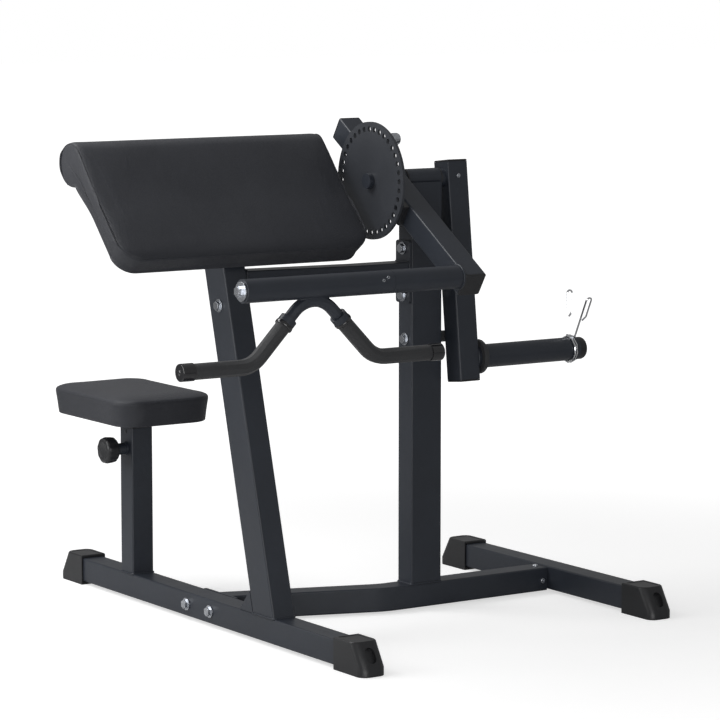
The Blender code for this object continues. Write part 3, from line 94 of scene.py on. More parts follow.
class Span:
    """The box that a CAD node fills at rest."""

    def __init__(self, node: str) -> None:
        """Args:
            node: the node's name.
        """
        self.low, self.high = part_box(node)
        self.middle = (self.low + self.high) / 2
        self.size = self.high - self.low

    def at(self, x: float, y: float, z: float) -> Vector:
        """A place in the box, from shares that are 0 at its low sides and 1 at its high sides."""
        return self.low + Vector(side * share for side, share in zip(self.size, (x, y, z)))


CORNER = Vector((*Span("rear_post").low.xy, 0))


def from_corner(x: float, y: float, z: float) -> Vector:
    """A place in the frame, from one measured on the floor from the low corner of the rear post."""
    return CORNER + Vector((x, y, z))


class Axis(Enum):
    """The way a turned piece points."""

    RIGHT = (1, 0, 0)
    LEFT = (-1, 0, 0)
    FRONT = (0, -1, 0)
    UP = (0, 0, 1)


class Slot(Enum):
    """The record's material slots."""

    POWDER = "black_powder_coat"
    VINYL = "charcoal_vinyl"
    PLASTIC = "black_plastic"
    GLOSS = "gloss_black_cap"
    RUBBER = "black_rubber"
    ZINC = "zinc_plate"
    CHROME = "bright_chrome"
    PLYWOOD = "plywood"
    BEARING = "bearing_plastic"


class Sock:
    """A value in a node tree that takes part in arithmetic."""

    def __init__(self, tree: "Tree", socket: bpy.types.NodeSocket) -> None:
        """Args:
            tree: the node tree that holds the value.
            socket: the output that gives it.
        """
        self.tree = tree
        self.socket = socket

    def maths(self, operation: str, *values: "Sock | float") -> "Sock":
        """Add one Math node.

        Args:
            operation: the node's operation.
            values: what goes into its sockets, in order.

        Returns:
            The node's result.
        """
        return self.tree.node("ShaderNodeMath", {"operation": operation}, dict(enumerate(values)))

    def __add__(self, other: "Sock | float") -> "Sock":
        """Sum of two values."""
        return self.maths("ADD", self, other)

    def __radd__(self, other: float) -> "Sock":
        """Sum of a number and this value."""
        return self.maths("ADD", other, self)

    def __sub__(self, other: "Sock | float") -> "Sock":
        """This value less another."""
        return self.maths("SUBTRACT", self, other)

    def __rsub__(self, other: float) -> "Sock":
        """A number less this value."""
        return self.maths("SUBTRACT", other, self)

    def __mul__(self, other: "Sock | float") -> "Sock":
        """Product of two values."""
        return self.maths("MULTIPLY", self, other)

    def step(self, low: float, high: float) -> "Sock":
        """Ease from 0 at one value to 1 at another.

        Args:
            low: where the result is 0.
            high: where the result is 1.

        Returns:
            The eased value.
        """
        settings = {"interpolation_type": "SMOOTHSTEP"}
        return self.tree.node("ShaderNodeMapRange", settings, {"Value": self, 1: low, 2: high})


class Tree:
    """A node tree of a material or of the world."""

    def __init__(self, owner: bpy.types.Material | bpy.types.World, shader: str) -> None:
        """Args:
            owner: what the tree belongs to.
            shader: the node whose sockets are fed.
        """
        owner.use_nodes = True
        self.tree = owner.node_tree
        self.shader = self.tree.nodes[shader]

    def node(self, kind: str, settings: dict | None = None, sockets: dict | None = None,
             output: int | str = 0) -> Sock:
        """Add a node.

        Args:
            kind: the node's type.
            settings: its properties, which are set first.
            sockets: values or links by the socket's name, identifier or number.
            output: the output that is wanted.

        Returns:
            That output.
        """
        made = self.tree.nodes.new(kind)
        for key, value in (settings or {}).items():
            setattr(made, key, value)
        for key, value in (sockets or {}).items():
            self._feed(self._socket(made, key), value)
        return Sock(self, made.outputs[output])

    def feed(self, **sockets: "Sock | float | Sequence[float]") -> None:
        """Set or link the shader's own sockets, written with _ for the spaces in their names."""
        for key, value in sockets.items():
            self._feed(self.shader.inputs[key.replace("_", " ")], value)

    @staticmethod
    def _socket(node: bpy.types.Node, key: int | str) -> bpy.types.NodeSocket:
        """Find an input by its number, identifier or name."""
        if isinstance(key, int):
            return node.inputs[key]
        named = [s for s in node.inputs if s.identifier == key]
        return named[0] if named else node.inputs[key]

    def _feed(self, socket: bpy.types.NodeSocket, value: "Sock | float | Sequence[float]") -> None:
        """Link a value to a socket, or set a number or colour on it."""
        if isinstance(value, Sock):
            self.tree.links.new(value.socket, socket)
        elif socket.type == "RGBA" and len(value) == 3:
            socket.default_value = (*value, 1)
        else:
            socket.default_value = value


class Paint(Tree):
    """The node tree of one finish."""

    def __init__(self, name: str) -> None:
        """Args:
            name: the material's name.
        """
        self.material = bpy.data.materials.new(name)
        super().__init__(self.material, "Principled BSDF")
        self.place = self.node("ShaderNodeTexCoord", output="Object")

    def noise(self, scale: float, detail: float = 3, roughness: float = 0.5,
              vector: Sock | None = None, distortion: float = 0) -> Sock:
        """Noise over the piece.

        Args:
            scale: cells in a metre.
            detail: how many finer layers it has.
            roughness: how strong these are.
            vector: where it is read, the place on the piece unless given.
            distortion: how far it is warped.

        Returns:
            The noise, about 0.5.
        """
        sockets = {"Vector": vector or self.place, "Scale": scale, "Detail": detail,
                   "Roughness": roughness, "Distortion": distortion}
        return self.node("ShaderNodeTexNoise", sockets=sockets)

    def cells(self, scale: float, feature: str = "F1", vector: Sock | None = None) -> Sock:
        """Distance within the cells of a Voronoi texture.

        Args:
            scale: cells in a metre.
            feature: what the distance is to.
            vector: where it is read, the place on the piece unless given.

        Returns:
            The distance.
        """
        sockets = {"Vector": vector or self.place, "Scale": scale}
        return self.node("ShaderNodeTexVoronoi", {"feature": feature}, sockets, "Distance")

    def stretched(self, x: float, y: float, z: float) -> Sock:
        """The place on the piece with each axis scaled."""
        return self.node("ShaderNodeMapping", sockets={"Vector": self.place, "Scale": (x, y, z)})

    def mix(self, share: "Sock | float", first: "Sock | Colour", second: "Sock | Colour") -> Sock:
        """Blend two colours.

        Args:
            share: how much of the second.
            first: the colour at 0.
            second: the colour at 1.

        Returns:
            The blend.
        """
        sockets = {"Factor_Float": share, "A_Color": first, "B_Color": second}
        return self.node("ShaderNodeMix", {"data_type": "RGBA"}, sockets, 2)

    def bump(self, height: Sock, depth: float, under: Sock | None = None) -> Sock:
        """Turn a height into a normal.

        Args:
            height: the height, from 0 to 1.
            depth: what 1 stands for, in metres.
            under: a normal that this one is laid over.

        Returns:
            The normal.
        """
        sockets = {"Height": height, "Distance": depth, "Strength": 1.0}
        if under is not None:
            sockets["Normal"] = under
        return self.node("ShaderNodeBump", sockets=sockets)


@dataclass(frozen=True)
class Finish:
    """A finish, which builds its own material."""

    name: str

    def coat(self, paint: Paint) -> None:
        """Feed the material's shader."""
        raise NotImplementedError

    def material(self) -> bpy.types.Material:
        """Build the material."""
        paint = Paint(self.name)
        self.coat(paint)
        return paint.material


@dataclass(frozen=True)
class PowderCoat(Finish):
    """Satin black powder coat with a fine orange peel, faint dust and small rubbed spots."""

    name: str = "satin_powder_coat"
    colour: Colour = (0.0215, 0.0258, 0.0350)
    dust: Colour = (0.054, 0.058, 0.070)
    roughness: float = 0.40
    peel_depth: float = 0.00010

    def coat(self, paint: Paint) -> None:
        """Feed the material's shader."""
        broad = paint.noise(9, 4, 0.6)
        cloudy = paint.noise(60, 3)
        rubbed = (paint.noise(38, 6, 0.7) - 0.63).step(0, 0.08)
        tone = paint.mix(broad.step(0.35, 0.75) * 0.45, self.colour, tuple(c * 1.35 for c in self.colour))
        paint.feed(
            Base_Color=paint.mix(rubbed * 0.20, tone, self.dust),
            Roughness=self.roughness + (broad - 0.5) * 0.10 + (cloudy - 0.5) * 0.08 + rubbed * 0.10,
            Specular_IOR_Level=0.5,
            Normal=paint.bump(paint.noise(620, 2) * 0.7 + cloudy * 0.9, self.peel_depth))


@dataclass(frozen=True)
class Vinyl(Finish):
    """Charcoal upholstery vinyl with a fine pebbled grain and a soft sheen, with painted shade darkening
    the grain's valleys.
    """

    name: str = "charcoal_upholstery_vinyl"
    colour: Colour = (0.0165, 0.0184, 0.0255)
    worn: Colour = (0.0235, 0.0257, 0.0335)
    # A darker colour painted into the valleys of the grain, as painted shade.
    valley_shade: Colour = (0.0085, 0.0092, 0.0125)
    roughness: float = 0.47
    grain_scale: float = 620
    grain_depth: float = 0.00016

    def coat(self, paint: Paint) -> None:
        """Feed the material's shader."""
        warped = paint.node("ShaderNodeVectorMath", {"operation": "ADD"}, {
            0: paint.place,
            1: paint.node("ShaderNodeVectorMath", {"operation": "SCALE"}, {
                0: paint.node("ShaderNodeTexNoise", sockets={
                    "Vector": paint.place, "Scale": 260, "Detail": 2}, output="Color"),
                "Scale": 0.0016})})
        pebbles = paint.cells(self.grain_scale, "DISTANCE_TO_EDGE", warped).step(0.0, 0.32)
        broad = paint.noise(7, 4, 0.55)
        pull = paint.noise(26, 3, 0.5, paint.stretched(1, 0.35, 0.35), 0.6)
        skin = paint.mix(broad.step(0.3, 0.75), self.colour, self.worn)
        paint.feed(
            # Painted shade: the valleys between the pebbles are mixed towards the darker valley colour.
            Base_Color=paint.mix(pebbles * -0.25 + 0.25, skin, self.valley_shade),
            Roughness=self.roughness + (1 - pebbles) * 0.12 + (broad - 0.5) * 0.10,
            Sheen_Weight=0.05,
            Sheen_Roughness=0.45,
            Normal=paint.bump(pebbles, self.grain_depth, paint.bump(pull, 0.0014)))


@dataclass(frozen=True)
class MouldedPlastic(Finish):
    """Black moulded plastic with a fine spark-eroded texture and scuffs."""

    name: str = "moulded_black_plastic"
    colour: Colour = (0.0150, 0.0155, 0.0175)
    scuff: Colour = (0.045, 0.046, 0.050)
    roughness: float = 0.38
    texture_depth: float = 0.00008

    def coat(self, paint: Paint) -> None:
        """Feed the material's shader."""
        texture = paint.noise(1100, 2, 0.6)
        flow = paint.noise(30, 4, 0.6)
        scuffs = (paint.noise(90, 5, 0.75, paint.stretched(1, 4, 1)) - 0.66).step(0, 0.06)
        paint.feed(
            Base_Color=paint.mix(scuffs * 0.35, self.colour, self.scuff),
            Roughness=self.roughness + (flow - 0.5) * 0.14 + scuffs * 0.15,
            Normal=paint.bump(texture + flow * 0.8, self.texture_depth))


@dataclass(frozen=True)
class GlossBlack(Finish):
    """Polished black plastic with fine swirls from handling."""

    name: str = "gloss_black_plastic"
    colour: Colour = (0.014, 0.014, 0.016)
    smeared: Colour = (0.026, 0.026, 0.029)
    roughness: float = 0.10

    def coat(self, paint: Paint) -> None:
        """Feed the material's shader."""
        swirl = paint.noise(420, 4, 0.7, paint.stretched(1, 0.25, 2.5), 0.8)
        smear = paint.noise(70, 3, 0.6)
        paint.feed(
            Base_Color=paint.mix(smear.step(0.45, 0.8) * 0.4, self.colour, self.smeared),
            Roughness=self.roughness + swirl.step(0.55, 0.75) * 0.08 + (smear - 0.5) * 0.08,
            Coat_Weight=0.5,
            Coat_Roughness=0.05,
            Normal=paint.bump(paint.noise(130, 2), 0.00010))


@dataclass(frozen=True)
class Rubber(Finish):
    """Matt black rubber with fine pores."""

    name: str = "matt_black_rubber"
    colour: Colour = (0.0225, 0.0232, 0.0255)
    chalk: Colour = (0.090, 0.091, 0.096)
    roughness: float = 0.62
    pore_scale: float = 900
    pore_depth: float = 0.00016

    def coat(self, paint: Paint) -> None:
        """Feed the material's shader."""
        pores = paint.cells(self.pore_scale).step(0.10, 0.55)
        broad = paint.noise(34, 4, 0.6)
        chalk = (paint.noise(160, 5, 0.7) - 0.60).step(0, 0.10)
        paint.feed(
            Base_Color=paint.mix(chalk * 0.25 + broad * 0.12, self.colour, self.chalk),
            Roughness=self.roughness + (broad - 0.5) * 0.14,
            Sheen_Weight=0.10,
            Normal=paint.bump(pores, self.pore_depth, paint.bump(broad, 0.0003)))


@dataclass(frozen=True)
class Zinc(Finish):
    """Bright zinc plating with a faint blue cast and a blotchy satin."""

    name: str = "bright_zinc_plate"
    colour: Colour = (0.60, 0.62, 0.66)
    dull: Colour = (0.40, 0.42, 0.45)
    roughness: float = 0.26

    def coat(self, paint: Paint) -> None:
        """Feed the material's shader."""
        blotch = paint.noise(240, 4, 0.65)
        grain = paint.noise(1500, 2, 0.5, paint.stretched(1, 1, 0.2))
        paint.feed(
            Base_Color=paint.mix(blotch.step(0.40, 0.70), self.colour, self.dull),
            Metallic=1.0,
            Roughness=self.roughness + (blotch - 0.5) * 0.22 + (grain - 0.5) * 0.10,
            Normal=paint.bump(grain + blotch, 0.00004))


@dataclass(frozen=True)
class Chrome(Finish):
    """Chromed spring wire with fine rubs."""

    name: str = "chromed_wire"
    colour: Colour = (0.78, 0.79, 0.81)
    tarnish: Colour = (0.55, 0.55, 0.56)
    roughness: float = 0.09

    def coat(self, paint: Paint) -> None:
        """Feed the material's shader."""
        rubs = paint.noise(900, 4, 0.7, paint.stretched(3, 1, 1))
        tarnish = paint.noise(120, 4, 0.6)
        paint.feed(
            Base_Color=paint.mix(tarnish.step(0.5, 0.8) * 0.5, self.colour, self.tarnish),
            Metallic=1.0,
            Roughness=self.roughness + rubs.step(0.55, 0.75) * 0.16,
            Normal=paint.bump(rubs, 0.00002))


@dataclass(frozen=True)
class Plywood(Finish):
    """Birch plywood: long grain on the faces and thin dark glue lines at the edges."""

    name: str = "birch_plywood"
    pale: Colour = (0.46, 0.31, 0.18)
    dark: Colour = (0.27, 0.165, 0.085)
    glue: Colour = (0.13, 0.075, 0.040)
    roughness: float = 0.66

    def coat(self, paint: Paint) -> None:
        """Feed the material's shader."""
        grain = paint.noise(55, 6, 0.6, paint.stretched(0.25, 5, 5), 0.4)
        fibre = paint.noise(700, 3, 0.6, paint.stretched(0.08, 1, 1))
        rings = paint.node("ShaderNodeTexWave", {"bands_direction": "Z"}, {
            "Vector": paint.place, "Scale": 120, "Distortion": 1.5, "Detail": 2}, "Fac")
        wood = paint.mix(grain.step(0.35, 0.7), self.pale, self.dark)
        paint.feed(
            Base_Color=paint.mix(rings.step(0.75, 1.0) * 0.35, wood, self.glue),
            Roughness=self.roughness + (fibre - 0.5) * 0.2,
            Normal=paint.bump(fibre + grain, 0.00012))


FINISHES = {
    Slot.POWDER: PowderCoat(),
    Slot.VINYL: Vinyl(),
    Slot.PLASTIC: MouldedPlastic(),
    Slot.GLOSS: GlossBlack(),
    Slot.RUBBER: Rubber(),
    Slot.ZINC: Zinc(),
    Slot.CHROME: Chrome(),
    Slot.PLYWOOD: Plywood(),
    Slot.BEARING: MouldedPlastic("bearing_nylon", (0.026, 0.026, 0.028), (0.05, 0.05, 0.052), 0.34),
}


def placed(name: str, data: bpy.types.ID) -> bpy.types.Object:
    """A new object of the scene, which shows a mesh, curve, lamp or camera."""
    obj = bpy.data.objects.new(name, data)
    bpy.context.scene.collection.objects.link(obj)
    return obj


class Workshop:
    """What every sub-assembly shares: the finishes, and the making of a piece."""

    def __init__(self) -> None:
        """Build each finish once."""
        self.finishes = {slot: finish.material() for slot, finish in FINISHES.items()}
        self.smoothing = self._smoothing_group()

    @staticmethod
    def _smoothing_group() -> bpy.types.NodeTree:
        """A modifier group that shades a piece smooth, with its edges past 35 degrees sharp."""
        group = bpy.data.node_groups.new("smooth_by_angle", "GeometryNodeTree")
        for way in ("INPUT", "OUTPUT"):
            group.interface.new_socket("Geometry", in_out=way, socket_type="NodeSocketGeometry")
        nodes, links = group.nodes, group.links
        start, end = nodes.new("NodeGroupInput"), nodes.new("NodeGroupOutput")
        strip = nodes.new("GeometryNodeRemoveAttribute")
        strip.inputs["Name"].default_value = "custom_normal"
        soft = nodes.new("GeometryNodeSetShadeSmooth")
        soft.domain = "FACE"
        angle = nodes.new("GeometryNodeInputMeshEdgeAngle")
        steep = nodes.new("FunctionNodeCompare")
        steep.data_type, steep.operation = "FLOAT", "GREATER_THAN"
        steep.inputs["B"].default_value = SHARP_ANGLE
        hard = nodes.new("GeometryNodeSetShadeSmooth")
        hard.domain = "EDGE"
        hard.inputs["Shade Smooth"].default_value = False
        links.new(start.outputs[0], strip.inputs["Geometry"])
        links.new(strip.outputs[0], soft.inputs["Geometry"])
        links.new(soft.outputs[0], hard.inputs["Geometry"])
        links.new(angle.outputs["Unsigned Angle"], steep.inputs["A"])
        links.new(steep.outputs[0], hard.inputs["Selection"])
        links.new(hard.outputs[0], end.inputs[0])
        return group

    def dress_node(self, name: str, material: bpy.types.Material, edge: float) -> None:
        """Give a CAD node its finish, and round its sharp edges with live modifiers.

        Args:
            name: the node.
            material: the finish.
            edge: the width of the rounding in metres, or 0.
        """
        obj = frame["nodes"][name]
        for held in obj.material_slots:
            held.link = "OBJECT"
            held.material = material
        weld = obj.modifiers.new("join", "WELD")
        weld.merge_threshold = JOIN_GAP
        flatten = obj.modifiers.new("flats", "DECIMATE")
        flatten.decimate_type = "DISSOLVE"
        flatten.angle_limit = FLAT_ANGLE
        if edge:
            rounding = obj.modifiers.new("edges", "BEVEL")
            rounding.width = edge
            rounding.segments = 2
            rounding.limit_method = "ANGLE"
            rounding.angle_limit = ROUNDED_ANGLE
        shade = obj.modifiers.new("shade", "NODES")
        shade.node_group = self.smoothing
        even = obj.modifiers.new("even_flats", "WEIGHTED_NORMAL")
        even.keep_sharp = True

    def piece(self, name: str, bm: bmesh.types.BMesh, slot: Slot, body: str,
              angle: float = 35) -> bpy.types.Object:
        """Turn a bmesh into a piece that rides on a body.

        Args:
            name: the piece's name.
            bm: its mesh, in the frame; it is freed.
            slot: its finish.
            body: the CAD body that it rides on.
            angle: edges steeper than this many degrees stay sharp.

        Returns:
            The new object.
        """
        bmesh.ops.remove_doubles(bm, verts=bm.verts, dist=MERGE_GAP)
        bmesh.ops.recalc_face_normals(bm, faces=bm.faces)
        mesh = bpy.data.meshes.new(name)
        bm.to_mesh(mesh)
        bm.free()
        mesh.shade_smooth()
        mesh.set_sharp_from_angle(angle=radians(angle))
        mesh.materials.append(self.finishes[slot])
        obj = placed(name, mesh)
        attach(obj, body)
        LOG.info("%s: %d faces on %s", name, len(mesh.polygons), body)
        return obj


def aim(base: Vector, direction: Vector) -> Matrix:
    """The transform that stands a piece drawn along Z on a point.

    Args:
        base: where its origin goes.
        direction: where its Z axis points.

    Returns:
        The matrix.
    """
    return Matrix.Translation(base) @ direction.to_track_quat("Z", "X").to_matrix().to_4x4()


def turned(outline: Sequence[tuple[float, float]], base: Vector, direction: Vector,
           sides: int = 48) -> bmesh.types.BMesh:
    """Spin an outline of radius and height round an axis.

    Args:
        outline: radius and height of each point, from one end to the other.
        base: the origin of the outline.
        direction: the axis.
        sides: how many sides the round has.

    Returns:
        The mesh.
    """
    bm = bmesh.new()
    points = [bm.verts.new((r, 0, h)) for r, h in outline]
    edges = [bm.edges.new(pair) for pair in zip(points, points[1:])]
    bmesh.ops.spin(bm, geom=points + edges, cent=(0, 0, 0), axis=(0, 0, 1), angle=2 * pi,
                   steps=sides, use_merge=True)
    bmesh.ops.remove_doubles(bm, verts=bm.verts, dist=MERGE_GAP)
    bmesh.ops.transform(bm, matrix=aim(base, direction), verts=bm.verts)
    return bm


def prism(sides: int, across: float, height: float, base: Vector, direction: Vector,
          edge: float, recess: float = 0.0, depth: float = 0.0) -> bmesh.types.BMesh:
    """A bolt head: a regular prism with its top edges rounded, and a hexagon sunk in it if asked.

    Args:
        sides: sides of the prism.
        across: radius of its corners.
        height: how high it stands.
        base: middle of its foot.
        direction: its axis.
        edge: rounding of its top edges.
        recess: radius of the sunk hexagon's corners, or 0.
        depth: how deep that goes.

    Returns:
        The mesh.
    """
    bm = bmesh.new()
    bmesh.ops.create_circle(bm, cap_ends=True, radius=across, segments=sides)
    foot = bm.faces[:]
    top = [f for f in bmesh.ops.extrude_face_region(bm, geom=foot)["geom"]
           if isinstance(f, bmesh.types.BMFace)]
    bmesh.ops.translate(bm, verts=top[0].verts, vec=(0, 0, height))
    bmesh.ops.bevel(bm, geom=top[0].edges[:], offset=edge, segments=3, profile=0.5,
                    affect="EDGES", material=-1)
    if recess:
        face = max(bm.faces, key=lambda f: f.calc_center_median().z)
        bmesh.ops.inset_individual(bm, faces=[face], thickness=across - edge - recess)
        bmesh.ops.inset_individual(bm, faces=[face], thickness=edge * 0.3, depth=-depth)
    bmesh.ops.transform(bm, matrix=aim(base, direction), verts=bm.verts)
    return bm


def tube_along(points: Sequence[Vector], radius: float, closed: bool,
               ripple: float = 0.0) -> bmesh.types.BMesh:
    """A round bead or cord along a line.

    Args:
        points: the line.
        radius: its radius.
        closed: whether the line comes back to its start.
        ripple: how much the radius swells at each ripple of a weld.

    Returns:
        The mesh.
    """
    curve = bpy.data.curves.new("bead", "CURVE")
    curve.dimensions = "3D"
    curve.bevel_depth = radius
    curve.bevel_resolution = 2
    curve.use_fill_caps = not closed
    line = curve.splines.new("POLY")
    line.points.add(len(points) - 1)
    run = 0.0
    for i, (dot, place) in enumerate(zip(line.points, points)):
        run += (place - points[i - 1]).length if i else 0
        dot.co = (*place, 1)
        dot.radius = 1 + ripple * sin(2 * pi * run / RIPPLE_PITCH)
    line.use_cyclic_u = closed
    holder = placed("bead", curve)
    bm = bmesh.new()
    bm.from_mesh(holder.to_mesh())
    holder.to_mesh_clear()
    bpy.data.objects.remove(holder)
    return bm


def ring_points(centre: Vector, axis: Vector, radius: float, count: int) -> list[Vector]:
    """Points round a circle."""
    turn = aim(centre, axis)
    return [turn @ Vector((radius * cos(2 * pi * i / count), radius * sin(2 * pi * i / count), 0))
            for i in range(count)]


def rounded_loop(half_x: float, half_y: float, corner: float, spacing: float) -> list[Vector]:
    """Evenly spaced points round a rectangle with round corners, about the origin.

    Args:
        half_x: half its width.
        half_y: half its depth.
        corner: radius of its corners.
        spacing: distance between points.

    Returns:
        The points, in the plane Z = 0.
    """
    corners = []
    for k, (sx, sy) in enumerate(((1, 1), (-1, 1), (-1, -1), (1, -1))):
        for i in range(13):
            turn = (k + i / 12) * pi / 2
            corners.append(Vector((sx * (half_x - corner) + corner * cos(turn),
                                   sy * (half_y - corner) + corner * sin(turn), 0)))
    return evenly(corners + corners[:1], spacing)[:-1]


def evenly(points: Sequence[Vector], spacing: float) -> list[Vector]:
    """Points at even distances along a line, its two ends among them.

    Args:
        points: the line.
        spacing: the distance that is aimed at.

    Returns:
        The new points.
    """
    runs = [0.0]
    for a, b in zip(points, points[1:]):
        runs.append(runs[-1] + (b - a).length)
    count = max(2, round(runs[-1] / spacing))
    made, k = [], 0
    for i in range(count + 1):
        want = runs[-1] * i / count
        while k < len(runs) - 2 and runs[k + 1] < want:
            k += 1
        step = runs[k + 1] - runs[k]
        made.append(points[k].lerp(points[k + 1], (want - runs[k]) / step if step else 0))
    return made


def on_curve(points: Sequence[tuple[float, ...]], share: float) -> Vector:
    """A point on a smooth curve through given points.

    Args:
        points: what the curve goes through.
        share: how far along them, from 0 to 1.

    Returns:
        The point.
    """
    run = share * (len(points) - 1)
    k = min(int(run), len(points) - 2)
    a, b, c, d = (Vector(points[min(max(i, 0), len(points) - 1)]) for i in range(k - 1, k + 3))
    f = run - k
    square, cube = a * 2 - b * 5 + c * 4 - d, b * 3 - a - c * 3 + d
    return b + ((c - a) * f + square * f ** 2 + cube * f ** 3) / 2


def draped(across: int, along: int, shape: Callable[[int, int], Vector]) -> bmesh.types.BMesh:
    """A grid of quads whose points are laid where a function says, closed where they meet.

    Args:
        across: how many columns of points it has.
        along: how many rows.
        shape: gives the place of the point in a column and row.

    Returns:
        The mesh.
    """
    bm = bmesh.new()
    bmesh.ops.create_grid(bm, x_segments=across - 1, y_segments=along - 1, size=0.5)
    for vert in bm.verts:
        vert.co = shape(round((vert.co.x + 0.5) * (across - 1)), round((vert.co.y + 0.5) * (along - 1)))
    bmesh.ops.remove_doubles(bm, verts=bm.verts, dist=JOIN_GAP)
    bmesh.ops.holes_fill(bm, edges=[e for e in bm.edges if e.is_boundary])
    bmesh.ops.recalc_face_normals(bm, faces=bm.faces)
    return bm


@dataclass
class Cushion:
    """A cushion that is sewn a little small, swells as cloth, and is pulled in along its seam."""

    shop: Workshop
    node: str
    name: str
    body: str
    shrink: float = 0.0010
    cap: float = 0.0025
    tether: float = 0.02
    frames: int = 20
    even_out: int = 14
    seam_reach: float = 0.0055
    seam_depth: float = 0.0020
    seam_step: float = 0.0015
    line_step: float = 0.003
    welt_radius: float = 0.0011
    welt_sunk: float = 0.35
    welt_passes: int = 6
    fill: float = 0.95
    cloth: dict[str, float] = field(default_factory=lambda: {
        "quality": 5, "mass": 0.25, "tension_stiffness": 30, "compression_stiffness": 30,
        "shear_stiffness": 15, "bending_stiffness": 0.01, "use_pressure": True,
        "uniform_pressure_force": 4.0})

    def held(self, place: Vector) -> bool:
        """Whether a point rests on the board, where it can't swell."""
        raise NotImplementedError

    def seam(self) -> tuple[list[Vector], bool]:
        """The seam's line, and whether it is closed."""
        raise NotImplementedError

    def cut(self) -> bmesh.types.BMesh:
        """The cushion as it is sewn, in quads."""
        raise NotImplementedError

    def build(self) -> None:
        """Make the cushion and its welt."""
        mesh = bpy.data.meshes.new(self.name)
        sewn = self.cut()
        sewn.to_mesh(mesh)
        sewn.free()
        line, closed = self.seam()
        self._swell(mesh)
        obj = self._subdivide(mesh)
        self._pull_seam(obj.data, line)
        obj.data.shade_smooth()
        obj.data.materials.clear()
        obj.data.materials.append(self.shop.finishes[Slot.VINYL])
        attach(obj, self.body)
        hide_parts(self.node)
        welt = self.shop.piece(self.name + "_welt", self._welt(obj.data, line, closed),
                               Slot.VINYL, self.body, 60)
        LOG.info("%s: %d faces, with %s", obj.name, len(obj.data.polygons), welt.name)

    def _swell(self, mesh: bpy.types.Mesh) -> None:
        """Blow the cushion up as cloth, held at its board, and cap its movement.

        Args:
            mesh: the cushion, which is changed.
        """
        scene = bpy.context.scene
        free = [not self.held(v.co) for v in mesh.vertices]
        for vert, normal, loose in zip(mesh.vertices, [v.normal.copy() for v in mesh.vertices], free):
            vert.co -= normal * self.shrink * loose
        sewn = [v.co.copy() for v in mesh.vertices]
        bag = placed(self.name + "_cloth", mesh)
        pins = bag.vertex_groups.new(name="held")
        for i, loose in enumerate(free):
            pins.add([i], self.tether if loose else 1.0, "REPLACE")
        cloth = bag.modifiers.new("cloth", "CLOTH")
        settings = cloth.settings
        for key, value in self.cloth.items():
            setattr(settings, key, value)
        settings.vertex_group_mass = pins.name
        settings.effector_weights.gravity = 0
        cloth.collision_settings.use_collision = False
        cloth.point_cache.frame_start, cloth.point_cache.frame_end = 1, self.frames
        for number in range(1, self.frames + 1):
            scene.frame_set(number)
        shape = bag.evaluated_get(bpy.context.evaluated_depsgraph_get()).data
        steps = [now.co - was for now, was in zip(shape.vertices, sewn)]
        bag.modifiers.remove(cloth)
        for vert, was, step in zip(mesh.vertices, sewn, self._evened(mesh, steps, free)):
            vert.co = was + step * min(1, self.cap / max(step.length, 1e-9))
        bpy.data.objects.remove(bag)
        scene.frame_set(1)

    def _evened(self, mesh: bpy.types.Mesh, steps: list[Vector], free: Sequence[bool]) -> list[Vector]:
        """The movement of the cloth with its folds evened out, as foam under tight vinyl does.

        Args:
            mesh: the cushion.
            steps: how far each point moved.
            free: whether each point may move.

        Returns:
            The new movement of each point.
        """
        ties = [[] for _ in steps]
        for a, b in (edge.vertices for edge in mesh.edges):
            ties[a].append(b)
            ties[b].append(a)
        for _ in range(self.even_out):
            steps = [(step + sum((steps[i] for i in tied), Vector()) / len(tied)) / 2 * loose
                     for step, tied, loose in zip(steps, ties, free)]
        return steps

    def _subdivide(self, mesh: bpy.types.Mesh) -> bpy.types.Object:
        """The cushion as an object, with one subdivision applied."""
        rough = placed(self.name + "_rough", mesh)
        finer = rough.modifiers.new("finer", "SUBSURF")
        finer.levels = finer.render_levels = 1
        graph = bpy.context.evaluated_depsgraph_get()
        made = bpy.data.meshes.new_from_object(rough.evaluated_get(graph))
        bpy.data.objects.remove(rough)
        return placed(self.name, made)

    @staticmethod
    def _near(line: Sequence[Vector]) -> Callable[[Vector], float]:
        """A function that gives a point's distance to a line of points."""
        tree = KDTree(len(line))
        for i, dot in enumerate(line):
            tree.insert(dot, i)
        tree.balance()
        return lambda spot: tree.find(spot)[2]

    @staticmethod
    def _on_surface(mesh: bpy.types.Mesh, line: Sequence[Vector]) -> list[tuple[Vector, Vector]]:
        """The nearest places of a line on a mesh, with the surface's normals there."""
        bm = bmesh.new()
        bm.from_mesh(mesh)
        tree = BVHTree.FromBMesh(bm)
        found = [tree.find_nearest(dot)[:2] for dot in line]
        bm.free()
        return found

    def _pull_seam(self, mesh: bpy.types.Mesh, line: Sequence[Vector]) -> None:
        """Draw the vinyl in along the seam, so that it rises softly on both sides of it."""
        path = [dot for dot, _ in self._on_surface(mesh, line)]
        near = self._near(evenly(path, self.seam_step))
        normals = [v.normal.copy() for v in mesh.vertices]
        for vert, normal in zip(mesh.vertices, normals):
            gap = near(vert.co) / self.seam_reach
            if gap < 1:
                vert.co -= normal * self.seam_depth * (1 - gap) ** 2

    def _welt(self, mesh: bpy.types.Mesh, line: Sequence[Vector], closed: bool) -> bmesh.types.BMesh:
        """The thin rolled edge of the vinyl that lies in the seam."""
        path = [dot - normal * self.welt_radius * self.welt_sunk
                for dot, normal in self._on_surface(mesh, line)]
        inner = range(len(path)) if closed else range(1, len(path) - 1)
        for _ in range(self.welt_passes):
            path = [(path[i - 1] + path[i] * 2 + path[(i + 1) % len(path)]) / 4
                    if i in inner else path[i] for i in range(len(path))]
        return tube_along(path, self.welt_radius, closed)


